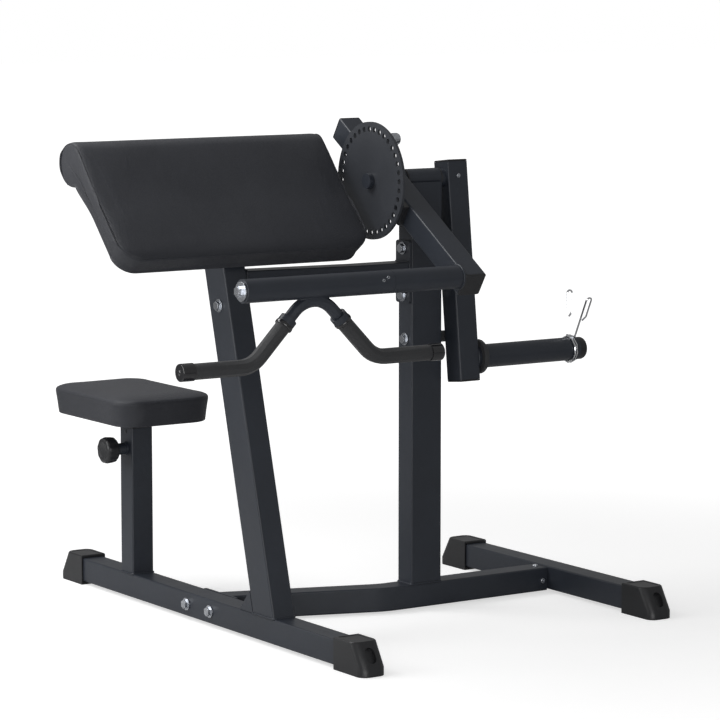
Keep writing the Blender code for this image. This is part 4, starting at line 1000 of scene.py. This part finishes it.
@dataclass
class SeatCushion(Cushion):
    """The seat: a crowned top panel sewn to an upright boxing."""

    node: str = "seat_cushion"
    name: str = "seat_vinyl"
    body: str = "seat"
    cap: float = 0.0008
    corner: float = 0.058
    seam_drop: float = 0.0125
    held_height: float = 0.0035
    flat: float = 0.050
    loop_step: float = 0.0005
    tangent: int = 4
    underside: float = field(default_factory=lambda: Span("seat_cushion").low.z)
    rounds: int = 144
    rows: int = 61
    outline: tuple[tuple[float, float], ...] = (
        (0.11675, 0), (0.085, 0), (0.050, 0), (0.024, 0), (0.0130, 0.0004), (0.0094, 0.0022),
        (0.0076, 0.0060), (0.0062, 0.0130), (0.0046, 0.0240), (0.0028, 0.0360), (0.0011, 0.0460),
        (0.0002, 0.0505), (0, 0.0520), (0.0012, 0.0537), (0.0042, 0.0562), (0.0095, 0.0586),
        (0.018, 0.0606), (0.032, 0.0622), (0.050, 0.0634), (0.085, 0.0642), (0.11675, 0.0645))

    def held(self, place: Vector) -> bool:
        """Whether a point is at the underside."""
        return place.z < self.underside + self.held_height

    def seam(self) -> tuple[list[Vector], bool]:
        """The line between the top panel and the boxing."""
        box = Span(self.node)
        loop = rounded_loop(box.size.x / 2, box.size.y / 2, self.corner, self.line_step)
        shift = box.at(0.5, 0.5, 1) - Z_AXIS * self.seam_drop
        return [dot + shift for dot in loop], True

    def cut(self) -> bmesh.types.BMesh:
        """The seat as it is sewn: its outline drawn in and lifted from the underside to the crown."""
        box = Span(self.node)
        loop = rounded_loop(box.size.x / 2, box.size.y / 2, self.corner, self.loop_step)
        base = box.at(0.5, 0.5, 0)

        def shape(column: int, row: int) -> Vector:
            """The place of a point."""
            inset, height = on_curve(self.outline, row / (self.rows - 1))
            k = round(column / self.rounds * len(loop)) % len(loop)
            way = (loop[(k + self.tangent) % len(loop)] - loop[k - self.tangent]).normalized()
            edge = loop[k] - Vector((way.y, -way.x, 0)) * min(max(inset, 0), self.flat)
            if inset > self.flat:
                edge *= 1 - (inset - self.flat) / (self.outline[0][0] - self.flat)
            return base + edge + Z_AXIS * height

        return draped(self.rounds + 1, self.rows, shape)


@dataclass
class ArmPad(Cushion):
    """The arm pad: one panel over the roll and the slab, sewn to the ends and the front."""

    node: str = "pad_cushion"
    name: str = "arm_pad_vinyl"
    body: str = "frame"
    roll: Vector = field(default_factory=lambda: from_corner(-0.4065, 0.186, 0.9514))
    radius: float = 0.0465
    width: float = 0.587
    down: Vector = field(default_factory=lambda: Vector((0, -0.6858, -0.7278)))
    out: Vector = field(default_factory=lambda: Vector((0, -0.7278, 0.6858)))
    face: float = 0.0404
    underside: float = -0.0136
    length: float = 0.2803
    corner: float = 0.050
    seam_start: int = 300
    seam_drop: float = 0.0035
    seam_rows: float = 0.004
    edge_run: float = 0.016
    bulge: float = 0.0022
    board: float = 0.0445
    held_out: float = 0.003
    held_down: float = 0.05
    run_off: float = 0.15
    rows: int = 132
    middle: int = 30
    slab_end: float = 0.20
    front_end: float = 0.36
    panel_end: float = 0.68
    crowding: float = 1.35
    inset_from: float = 0.045
    inset_run: float = 0.090
    core_ends: tuple[float, float] = (0.030, 0.027)
    end_shares: tuple[float, ...] = (0.05, 0.16, 0.32, 0.5, 0.68, 0.84, 0.95)
    corner_turns: tuple[int, ...] = (90, 85, 79, 72, 64, 56, 47, 38, 28, 18, 9, 0)
    boxing: tuple[tuple[float, float], ...] = (
        (0.0110, 0), (0.0078, 0.0014), (0.0062, 0.0052), (0.0046, 0.0135), (0.0020, 0.0320),
        (0.0004, 0.0455), (0, 0.0505))

    def held(self, place: Vector) -> bool:
        """Whether a point lies on the board under the slab."""
        offset = place - self.roll
        low = offset.dot(self.out) < self.underside + self.held_out
        return low and offset.dot(self.down) > self.held_down

    def at(self, across: float, down: float, out: float) -> Vector:
        """A place in the frame, from one on the pad."""
        return self.roll + X_AXIS * across + self.down * down + self.out * out

    def seam(self) -> tuple[list[Vector], bool]:
        """The line up the round edge of one end, down its side, along the front and back up."""
        half, drop, step = self.width / 2, self.seam_drop, self.seam_rows
        crest = self.radius - drop
        side = [(half, crest * cos(a), crest * sin(a))
                for a in map(radians, range(self.seam_start, 90, -2))]
        side += [(half, step * i, self._top(step * i) - drop)
                 for i in range(int((self.length - self.corner) / step))]
        side += [(half - self.corner * (1 - cos(a)), self.length - self.corner * (1 - sin(a)),
                  self.face - drop) for a in (i * pi / 24 for i in range(13))]
        line = [self.at(*p) for p in side] + [self.at(-x, d, o) for x, d, o in reversed(side)]
        return evenly(line, self.line_step), False

    def _stations(self) -> list[tuple[float, float, float]]:
        """Each column: its place across, the turn of the outline there, and how far in an end it is."""
        half = self.width / 2
        ends = [(half, pi / 2, share) for share in self.end_shares]
        ends += [(half - self.corner * (1 - sin(turn)), turn, 1.0)
                 for turn in map(radians, self.corner_turns)]
        inner = half - self.corner
        span = [(inner * (1 - 2 * i / self.middle), 0.0, 1.0) for i in range(1, self.middle)]
        return ends + span + [(-x, turn, share) for x, turn, share in reversed(ends)]

    def _top(self, down: float) -> float:
        """How far out the panel lies at a place down the slope, where it runs smoothly off the roll."""
        share = max(0, 1 - down / self.run_off)
        return self.face + (self.radius - self.face) * share * share * (3 - 2 * share)

    def _drop(self, edge: float) -> float:
        """How far the panel has sunk towards its seam, from the distance to the edge."""
        return self.seam_drop * (1 - min(1, max(0, edge) / self.edge_run)) ** 2

    def _inset(self, down: float, out: float) -> float:
        """How far the boxing is drawn in at a height, less near the roll."""
        height = min(self.boxing[-1][1], max(0, out - self.underside))
        near = min(1, max(0, (down - self.inset_from) / self.inset_run))
        for (inset, low), (after, high) in zip(self.boxing, self.boxing[1:]):
            if low <= height <= high:
                part = (height - low) / (high - low)
                return (inset + (after - inset) * part) * near * near * (3 - 2 * near)
        return 0.0

    def _section(self, share: float, length: float, turn: float,
                 edge: float) -> tuple[float, float, float]:
        """A point of the pad's section.

        Args:
            share: how far round the section, from 0 to 1.
            length: how far down the slope the section reaches.
            turn: the turn of the outline there, a right angle at the ends.
            edge: the distance to the pad's end.

        Returns:
            How far it is drawn in across, and its place down and out.
        """
        if share < self.slab_end:
            inset = self.boxing[0][0]
            down = self.board + (length - inset * cos(turn) - self.board) * share / self.slab_end
            return self._inset(down, self.underside) * sin(turn), down, self.underside
        if share < self.front_end:
            part = (share - self.slab_end) / (self.front_end - self.slab_end)
            inset, height = on_curve(self.boxing, part)
            return inset * sin(turn), length - inset * cos(turn), self.underside + height
        if share < self.panel_end:
            part = (share - self.front_end) / (self.panel_end - self.front_end)
            run = length * part ** self.crowding
            return 0.0, length - run, self._top(length - run) - self._drop(min(edge, run))
        part = (share - self.panel_end) / (1 - self.panel_end)
        angle = pi / 2 + (3 * pi / 2 + asin(self.underside / self.radius)) * part
        radius = self.radius - self._drop(edge)
        return 0.0, radius * cos(angle), radius * sin(angle)

    def cut(self) -> bmesh.types.BMesh:
        """The pad as it is sewn: its section carried across, and closed at each end by a full panel."""
        stations, half = self._stations(), self.width / 2
        mid = (self.face + self.underside) / 2

        def shape(column: int, row: int) -> Vector:
            """The place of a point."""
            x, turn, share = stations[column]
            length = self.length - self.corner * (1 - cos(turn))
            around = row % (self.rows - 1) / (self.rows - 1)
            inset, down, out = self._section(around, length, turn, half - abs(x))
            side = 1 if x > 0 else -1
            if share == 1:
                return self.at(x - side * inset, down, out)
            core = Vector((0, 0)) if around >= self.panel_end else Vector((
                min(max(down, self.core_ends[0]), length - self.core_ends[1]), mid))
            down, out = core.lerp(Vector((down, out)), share)
            puff = self.bulge * (1 - share ** 2) - self._inset(down, out)
            return self.at(x + side * puff, down, out)

        return draped(len(stations), self.rows, shape)


@dataclass
class SeatPinGrip:
    """The seat's pull pin, with a lobed grip that is open at its back."""

    shop: Workshop
    base: Vector = field(default_factory=lambda: Vector((
        Span("seat_post").low.x, Span("seat_post").middle.y, Span("seat_pin").middle.z)))
    face: float = 0.0565
    length: float = 0.0295
    radius: float = 0.0282
    lobes: int = 9
    lobe_sides: int = 16
    lobe_depth: float = 0.0012
    lobe_power: float = 1.6
    taper: float = 0.0065
    pin_radius: float = 0.006
    pin_end: float = -0.0047
    pin_edge: float = 0.001
    pin_reach: float = 0.012

    def build(self) -> None:
        """Make the grip and its pin."""
        bm = bmesh.new()
        bmesh.ops.create_circle(bm, cap_ends=True, radius=self.radius - self.taper,
                                segments=self.lobes * self.lobe_sides)
        for vert in bm.verts:
            turn = Vector((vert.co.x, vert.co.y)).angle_signed(Vector((1, 0)))
            hollow = (0.5 - 0.5 * cos(turn * self.lobes)) ** self.lobe_power
            vert.co *= 1 - self.lobe_depth / self.radius * hollow
        last = bm.faces[:]
        for height, scale in self._steps():
            grown = bmesh.ops.extrude_face_region(bm, geom=last)["geom"]
            bmesh.ops.delete(bm, geom=last, context="FACES_ONLY")
            last = [g for g in grown if isinstance(g, bmesh.types.BMFace)]
            ring = last[0].verts[:]
            level = sum(v.co.z for v in ring) / len(ring)
            widest = max(hypot(v.co.x, v.co.y) for v in ring)
            bmesh.ops.scale(bm, vec=(scale / widest, scale / widest, 1), verts=ring)
            bmesh.ops.translate(bm, vec=(0, 0, height - level), verts=ring)
        bmesh.ops.transform(bm, matrix=aim(self.base - X_AXIS * (self.face - self.length), -X_AXIS),
                            verts=bm.verts)
        r, edge, top = self.pin_radius, self.pin_edge, self.face - self.length + self.pin_reach
        rod = turned(((0, self.pin_end), (r - edge, self.pin_end), (r, self.pin_end + edge), (r, top)),
                     self.base, -X_AXIS, 24)
        grip = self.shop.piece("seat_pin_grip", bm, Slot.PLASTIC, "seat_pin", 40)
        pin = self.shop.piece("seat_pin_rod", rod, Slot.ZINC, "seat_pin")
        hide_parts("seat_pin")
        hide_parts("seat_pin")

    def _steps(self) -> list[tuple[float, float]]:
        """Height and radius of each ring, from the back edge round to the face."""
        r, n = self.radius, self.length
        return [(0.003, r - self.taper * 0.35), (n * 0.30, r - 0.0010), (n * 0.72, r),
                (n - 0.004, r - 0.0006), (n - 0.0016, r - 0.0026), (n - 0.0004, r - 0.0052),
                (n, r - 0.0085), (n, r - 0.0115), (n - 0.0008, r - 0.0125), (n - 0.0008, 0.004)]


@dataclass
class CurlHandle:
    """Trim of the curl handle: collars, the weld of the bar, set screws and the caps' buttons."""

    shop: Workshop
    sleeve: Span = field(default_factory=lambda: Span("handle_sleeve"))
    bar: Span = field(default_factory=lambda: Span("curl_bar"))
    across: float = 0.0605
    drop: float = 0.06385
    slope: float = radians(46)
    collar_radius: float = 0.0175
    collar_length: float = 0.014
    bar_radius: float = 0.0125
    arch_radius: float = 0.0593
    bar_drop: float = 0.0273
    weld_size: float = 0.0019
    weld_ripple: float = 0.16
    seam: float = 0.0072
    screws: tuple[tuple[float, float], ...] = ((-0.009, radians(118)), (-0.021, radians(104)))

    @property
    def axle(self) -> Vector:
        """The middle of the axle, over the middle of the bar."""
        return Vector((self.bar.middle.x, *self.sleeve.middle.yz))

    @property
    def radius(self) -> float:
        """Radius of the turning sleeve."""
        return self.sleeve.size.y / 2

    def build(self) -> None:
        """Make every piece of the trim."""
        for side, name in ((-1, "left"), (1, "right")):
            self._collar(side, name)
            self._button(side, name)
        self._cope_weld()
        self._set_screws()

    def _collar(self, side: int, name: str) -> None:
        """The two-step collar at the inner end of a grip."""
        way = Vector((side * cos(self.slope), 0, -sin(self.slope)))
        start = self.axle + Vector((side * self.across, 0, -self.drop))
        r, n = self.collar_radius, self.collar_length
        outline = ((self.bar_radius + 0.0002, -0.0006), (r - 0.0022, -0.0006), (r - 0.0010, 0.0002),
                   (r - 0.0004, 0.0016), (r - 0.0004, n * 0.42), (r - 0.0001, n * 0.46),
                   (r + 0.0007, n * 0.50), (r + 0.0012, n * 0.62), (r + 0.0012, n * 0.86),
                   (r + 0.0007, n * 0.97), (r - 0.0004, n + 0.0005), (r - 0.0020, n + 0.0007),
                   (self.bar_radius + 0.0002, n + 0.0007))
        self.shop.piece(f"{name}_grip_collar", turned(outline, start, way), Slot.GLOSS, "handle", 50)

    def _button(self, side: int, name: str) -> None:
        """The small domed button in the end of the bar's cap."""
        cap = Span(f"{name}_bar_cap")
        base = cap.at(0.5 + side / 2, 0.5, 0.5) - X_AXIS * side * 0.0006
        outline = ((0.0052, 0), (0.0052, 0.0007), (0.0044, 0.0013), (0.0026, 0.0017), (0, 0.0018))
        self.shop.piece(f"{name}_cap_button", turned(outline, base, X_AXIS * side, 32),
                        Slot.GLOSS, "handle", 60)

    def _cope_weld(self) -> None:
        """The bead where the arch of the bar meets the turning sleeve."""
        drop = self.bar_drop + self.arch_radius

        def skin(x: float, turn: float) -> Vector:
            """A point on the sleeve, from the middle of the axle."""
            return Vector((x, self.radius * sin(turn), -self.radius * cos(turn)))

        def gap(x: float, turn: float) -> float:
            """Distance of a point on the sleeve from the skin of the arch."""
            off = skin(x, turn) + Z_AXIS * drop
            return hypot(hypot(off.x, off.z) - self.arch_radius, off.y) - self.bar_radius

        def meeting(x: float) -> float:
            """The turn at which the two skins meet."""
            low, high = 0.0, pi / 2
            for _ in range(30):
                half = (low + high) / 2
                low, high = (half, high) if gap(x, half) < 0 else (low, half)
            return low

        reach = max(i * 0.0005 for i in range(120) if gap(i * 0.0005, 0.0) < 0)
        front = [(x, meeting(x)) for x in (reach * sin(i * pi / 40) for i in range(-20, 21))]
        loop = front + [(x, -turn) for x, turn in reversed(front)]
        points = [self.axle + skin(x, turn) for x, turn in loop]
        line = evenly(points + points[:1], BEAD_STEP)[:-1]
        bead = tube_along(line, self.weld_size, True, self.weld_ripple)
        self.shop.piece("bar_weld", bead, Slot.POWDER, "handle", 60)

    def _set_screws(self) -> None:
        """Two set screws beside the seam of the sleeve, on its upper front."""
        for shift, turn in self.screws:
            way = Vector((0, -sin(turn), -cos(turn)))
            base = self.axle + way * (self.radius - 0.0010)
            base.x = self.sleeve.high.x - self.seam + shift
            screw = prism(24, 0.0032, 0.0016, base, way, edge=0.0004, recess=0.0017, depth=0.0014)
            self.shop.piece(f"sleeve_set_screw_{abs(round(shift * 1000))}", screw, Slot.ZINC, "handle")


@dataclass
class Welds:
    """Beads where the tubes, flanges and posts of the frame are joined."""

    shop: Workshop
    size: float = 0.0024
    thin: float = 0.0016
    ripple: float = 0.14
    corner: float = 0.0035
    lean: float = radians(15.0)
    beam_bend: float = radians(18.8)
    upper_bend: float = radians(6.9)

    def build(self) -> None:
        """Lay every bead."""
        for name in ("seat_post", "rear_post"):
            box = Span(name)
            self._box(f"{name}_weld", box.at(0.5, 0.5, 0), box.size.x, box.size.y)
        self._leaning_post()
        self._beam_front("beam_flange_weld", "cross_beam", "beam_flange", self.beam_bend)
        self._beam_front("upper_front_weld", "upper_beam", "front_flange", self.upper_bend)
        upper, post = Span("upper_beam"), Span("rear_post")
        middle = Vector((Span("rear_flange").low.x, post.middle.y, upper.middle.z))
        self._upright("upper_rear_weld", middle, post.size.y, upper.size.z)
        for name, node, share, body in (("stub_weld", "handle_axle", 1, "lever"),
                                        ("plate_sleeve_weld", "plate_sleeve", 0, "swing")):
            box = Span(node)
            self._ring(name, box.at(share, 0.5, 0.5), box.size.y / 2 + 0.0004, body)
        self._gusset()

    def _leaning_post(self) -> None:
        """The bead round the foot of the leaning post."""
        box = Span("leaning_post")
        deep = Span("rear_post").size.x / cos(self.lean)
        self._box("leaning_post_weld", box.at(0.5, 0, 0) + Y_AXIS * deep / 2, box.size.x, deep)

    def _beam_front(self, name: str, beam: str, flange: str, bend: float) -> None:
        """The bead where a bent beam meets its front flange at an angle."""
        box = Span(beam)
        wide = box.size.z / cos(bend)
        middle = Vector((Span(flange).high.x, box.high.y - wide / 2, box.middle.z))
        self._upright(name, middle, wide, box.size.z)

    def _lay(self, name: str, points: Sequence[Vector], body: str = "frame") -> None:
        """A rippled bead along a closed line."""
        self.shop.piece(name, tube_along(points, self.size, True, self.ripple), Slot.POWDER, body, 60)

    def _box(self, name: str, middle: Vector, wide: float, deep: float) -> None:
        """A bead round the foot of a post."""
        self._lay(name, [middle + dot for dot in rounded_loop(wide / 2, deep / 2, self.corner, BEAD_STEP)])

    def _upright(self, name: str, middle: Vector, wide: float, high: float) -> None:
        """A bead round a beam, on the flange at its end."""
        loop = rounded_loop(wide / 2, high / 2, self.corner, BEAD_STEP)
        self._lay(name, [middle + Vector((0, dot.x, dot.y)) for dot in loop])

    def _ring(self, name: str, centre: Vector, radius: float, body: str) -> None:
        """A bead round a tube that stands on a flat face."""
        self._lay(name, ring_points(centre, X_AXIS, radius, round(2 * pi * radius / BEAD_STEP)), body)

    def _gusset(self) -> None:
        """The beads along the two edges of the gusset at the foot of the leaning post."""
        box = Span("post_gusset")
        foot = box.at(1, 0, 0)
        along = evenly([foot, box.at(1, 1, 0)], BEAD_STEP)
        up = evenly([foot, foot + Vector((0, tan(self.lean), 1)) * box.size.z], BEAD_STEP)
        for name, line in (("gusset_foot_weld", along), ("gusset_side_weld", up)):
            bead = tube_along(line, self.thin, False, self.ripple)
            self.shop.piece(name, bead, Slot.POWDER, "frame", 60)


@dataclass
class Fasteners:
    """Small bolts and rivets that the frame carries."""

    shop: Workshop
    top_in: float = 0.0139
    side_in: float = 0.0119
    side_height: float = 0.0266
    arm_in: float = 0.0004
    arm_rise: float = 0.0046
    rivet_drop: float = 0.0088
    button_drop: float = 0.0420
    sunk: float = 0.0001

    def build(self) -> None:
        """Set every fastener in its place."""
        beam, post, seat = Span("cross_beam"), Span("rear_post"), Span("seat_post")
        top = Vector((beam.high.x - self.top_in, post.middle.y, beam.high.z - self.sunk))
        side = Vector((beam.high.x - self.side_in, beam.low.y + self.sunk, self.side_height))
        arm = Vector((Span("arm_plug_top").middle.x, post.low.y + self.arm_in,
                      Span("pivot_shaft").middle.z + self.arm_rise))
        self._socket("stub_bolt_top", top, Axis.UP, "frame", 0.0062)
        self._socket("stub_bolt_side", side, Axis.FRONT, "frame", 0.0062)
        self._socket("arm_bolt", arm, Axis.FRONT, "swing", 0.0046)
        rivet = seat.at(0, 0.5, 1) - Z_AXIS * self.rivet_drop
        button = seat.at(1, 0.5, 1) - Z_AXIS * self.button_drop
        self._rivet("seat_post_rivet", rivet, Axis.LEFT, 0.0042)
        self._rivet("seat_post_button", button, Axis.RIGHT, 0.0085)

    def _socket(self, name: str, base: Vector, way: Axis, body: str, radius: float) -> None:
        """A button-headed socket bolt."""
        head = prism(32, radius, radius * 0.55, base, Vector(way.value), edge=radius * 0.28,
                     recess=radius * 0.45, depth=radius * 0.35)
        self.shop.piece(name, head, Slot.ZINC, body)

    def _rivet(self, name: str, base: Vector, way: Axis, radius: float) -> None:
        """A domed black rivet in the seat post."""
        outline = ((radius, 0), (radius * 0.96, radius * 0.14), (radius * 0.7, radius * 0.34),
                   (radius * 0.35, radius * 0.43), (0, radius * 0.45))
        self.shop.piece(name, turned(outline, base, Vector(way.value), 24), Slot.PLASTIC, "frame", 60)


@dataclass
class Frame:
    """The CAD nodes that stay, each with its finish and its edges rounded."""

    shop: Workshop
    replaced: tuple[str, ...] = ("seat_cushion", "pad_cushion", "seat_pin")
    edges: dict[str, float] = field(default_factory=lambda: {
        "index_disc": 0.0004, "spring_clip": 0.0, "curl_bar": 0.0, "left_grip": 0.0006,
        "right_grip": 0.0006, "left_bar_cap": 0.0, "right_bar_cap": 0.0, "lever_tube": 0.0005})
    edge: float = 0.0006
    # A lighter copy of the black powder coat for the disc: painted light standing in for the brighter
    # light on the disc.
    lit_disc_finish: PowderCoat = PowderCoat(
        "lit_disc_powder_coat", (0.036, 0.039, 0.046), (0.070, 0.074, 0.084), 0.36)

    def build(self) -> None:
        """Dress every node that is shown."""
        slots = self._slots()
        # The disc gets the lighter copy of the powder coat, which paints in the light falling on it.
        disc = self.lit_disc_finish.material()
        for name in frame["nodes"]:
            if name not in self.replaced:
                finish = disc if name == "index_disc" else self.shop.finishes[slots[name]]
                self.shop.dress_node(name, finish, self.edges.get(name, self.edge))
        LOG.info("%d CAD nodes dressed", len(frame["nodes"]) - len(self.replaced))

    @staticmethod
    def _slots() -> dict[str, Slot]:
        """Each node's slot, from the material that the CAD gives it."""
        known = {slot.value: slot for slot in Slot}
        return {name: known[obj.data.materials[0].name.split(".")[0]]
                for name, obj in frame["nodes"].items()}


@dataclass(frozen=True)
class Lamp:
    """A soft square lamp that points at the machine."""

    name: str
    place: tuple[float, float, float]
    size: float
    power: float
    target: tuple[float, float, float] = (0, 0, 0.45)

    def build(self) -> None:
        """Make the lamp."""
        data = bpy.data.lights.new(self.name, "AREA")
        data.size, data.energy = self.size, self.power
        lamp = placed(self.name, data)
        lamp.location = self.place
        away = Vector(self.place) - Vector(self.target)
        lamp.rotation_euler = away.to_track_quat("Z", "Y").to_euler()


@dataclass
class Studio:
    """A white floor and backdrop, soft lamps, and the camera of the photograph."""

    lens: float = 161.14
    place: Vector = field(default_factory=lambda: from_corner(-3.7577, -5.4740, 1.3679))
    tilt: float = radians(82.803)
    turn: float = radians(-33.54)
    floor_size: float = 60.0
    floor_drop: float = 0.0002
    floor_grey: float = 0.62
    near_white: float = 0.60
    fade: tuple[float, float] = (0.9, 3.0)
    light: float = 0.22
    mirror: float = 0.30
    lamps: tuple[Lamp, ...] = (
        Lamp("key_lamp", (-2.2, 0.6, 1.1), 1.3, 22),
        Lamp("top_lamp", (-1.1, 0.7, 2.4), 1.4, 35),
        Lamp("front_lamp", (-1.5, -3.0, 0.3), 2.2, 48))

    def build(self) -> None:
        """Make the whole studio."""
        scene = bpy.context.scene
        scene.view_settings.view_transform = "Standard"
        self._camera(scene)
        self._world(scene)
        self._floor()
        for lamp in self.lamps:
            lamp.build()

    def _camera(self, scene: bpy.types.Scene) -> None:
        """The camera at the photograph's place."""
        data = bpy.data.cameras.new("photo_camera")
        data.lens, data.sensor_width = self.lens, 36
        data.clip_end = 200
        camera = placed("photo_camera", data)
        camera.location = self.place
        camera.rotation_euler = (self.tilt, 0, self.turn)
        scene.camera = camera

    def _world(self, scene: bpy.types.Scene) -> None:
        """A dim world for light, paler in reflections, and white to the camera and through glass."""
        world = bpy.data.worlds.new("white_studio")
        air = Tree(world, "Background")
        seen, glossy, through = (air.node("ShaderNodeLightPath", output=name) for name in (
            "Is Camera Ray", "Is Glossy Ray", "Is Transmission Ray"))
        air.feed(Color=(1, 1, 1), Strength=self.light + glossy * (self.mirror - self.light)
                 + (seen + through) * (1 - self.light))
        scene.world = world

    def _floor(self) -> None:
        """A pale floor that fades to white round the machine and keeps its shadow."""
        bm = bmesh.new()
        bmesh.ops.create_grid(bm, x_segments=8, y_segments=8, size=self.floor_size / 2)
        bmesh.ops.translate(bm, verts=bm.verts, vec=(0, 0, -self.floor_drop))
        mesh = bpy.data.meshes.new("floor")
        bm.to_mesh(mesh)
        bm.free()
        paint = Paint("white_floor")
        reach = paint.node("ShaderNodeVectorMath", {"operation": "LENGTH"}, {0: paint.place}, "Value")
        far = reach.step(*self.fade)
        seen = paint.node("ShaderNodeLightPath", output="Is Camera Ray")
        glow = seen * (self.near_white + far * (1 - self.near_white))
        grey = (self.floor_grey,) * 3
        paint.feed(Base_Color=grey, Roughness=0.9, Specular_IOR_Level=0.1,
                   Emission_Color=paint.mix(glow, (0, 0, 0), (1, 1, 1)), Emission_Strength=1.0)
        mesh.materials.append(paint.material)
        floor = placed("floor", mesh)


def clear_strays() -> None:
    """Remove whatever the file held before the frame was loaded."""
    ours = {*frame["nodes"].values(), *frame["bodies"].values()}
    for obj in list(bpy.data.objects):
        if obj not in ours:
            bpy.data.objects.remove(obj)


def main() -> None:
    """Build every sub-assembly in order."""
    logging.basicConfig(level=logging.INFO, format="%(message)s")
    clear_strays()
    shop = Workshop()
    for part in (SeatCushion(shop), ArmPad(shop), SeatPinGrip(shop), Frame(shop), CurlHandle(shop),
                 Welds(shop), Fasteners(shop), Studio()):
        part.build()


if __name__ == "__main__":
    main()
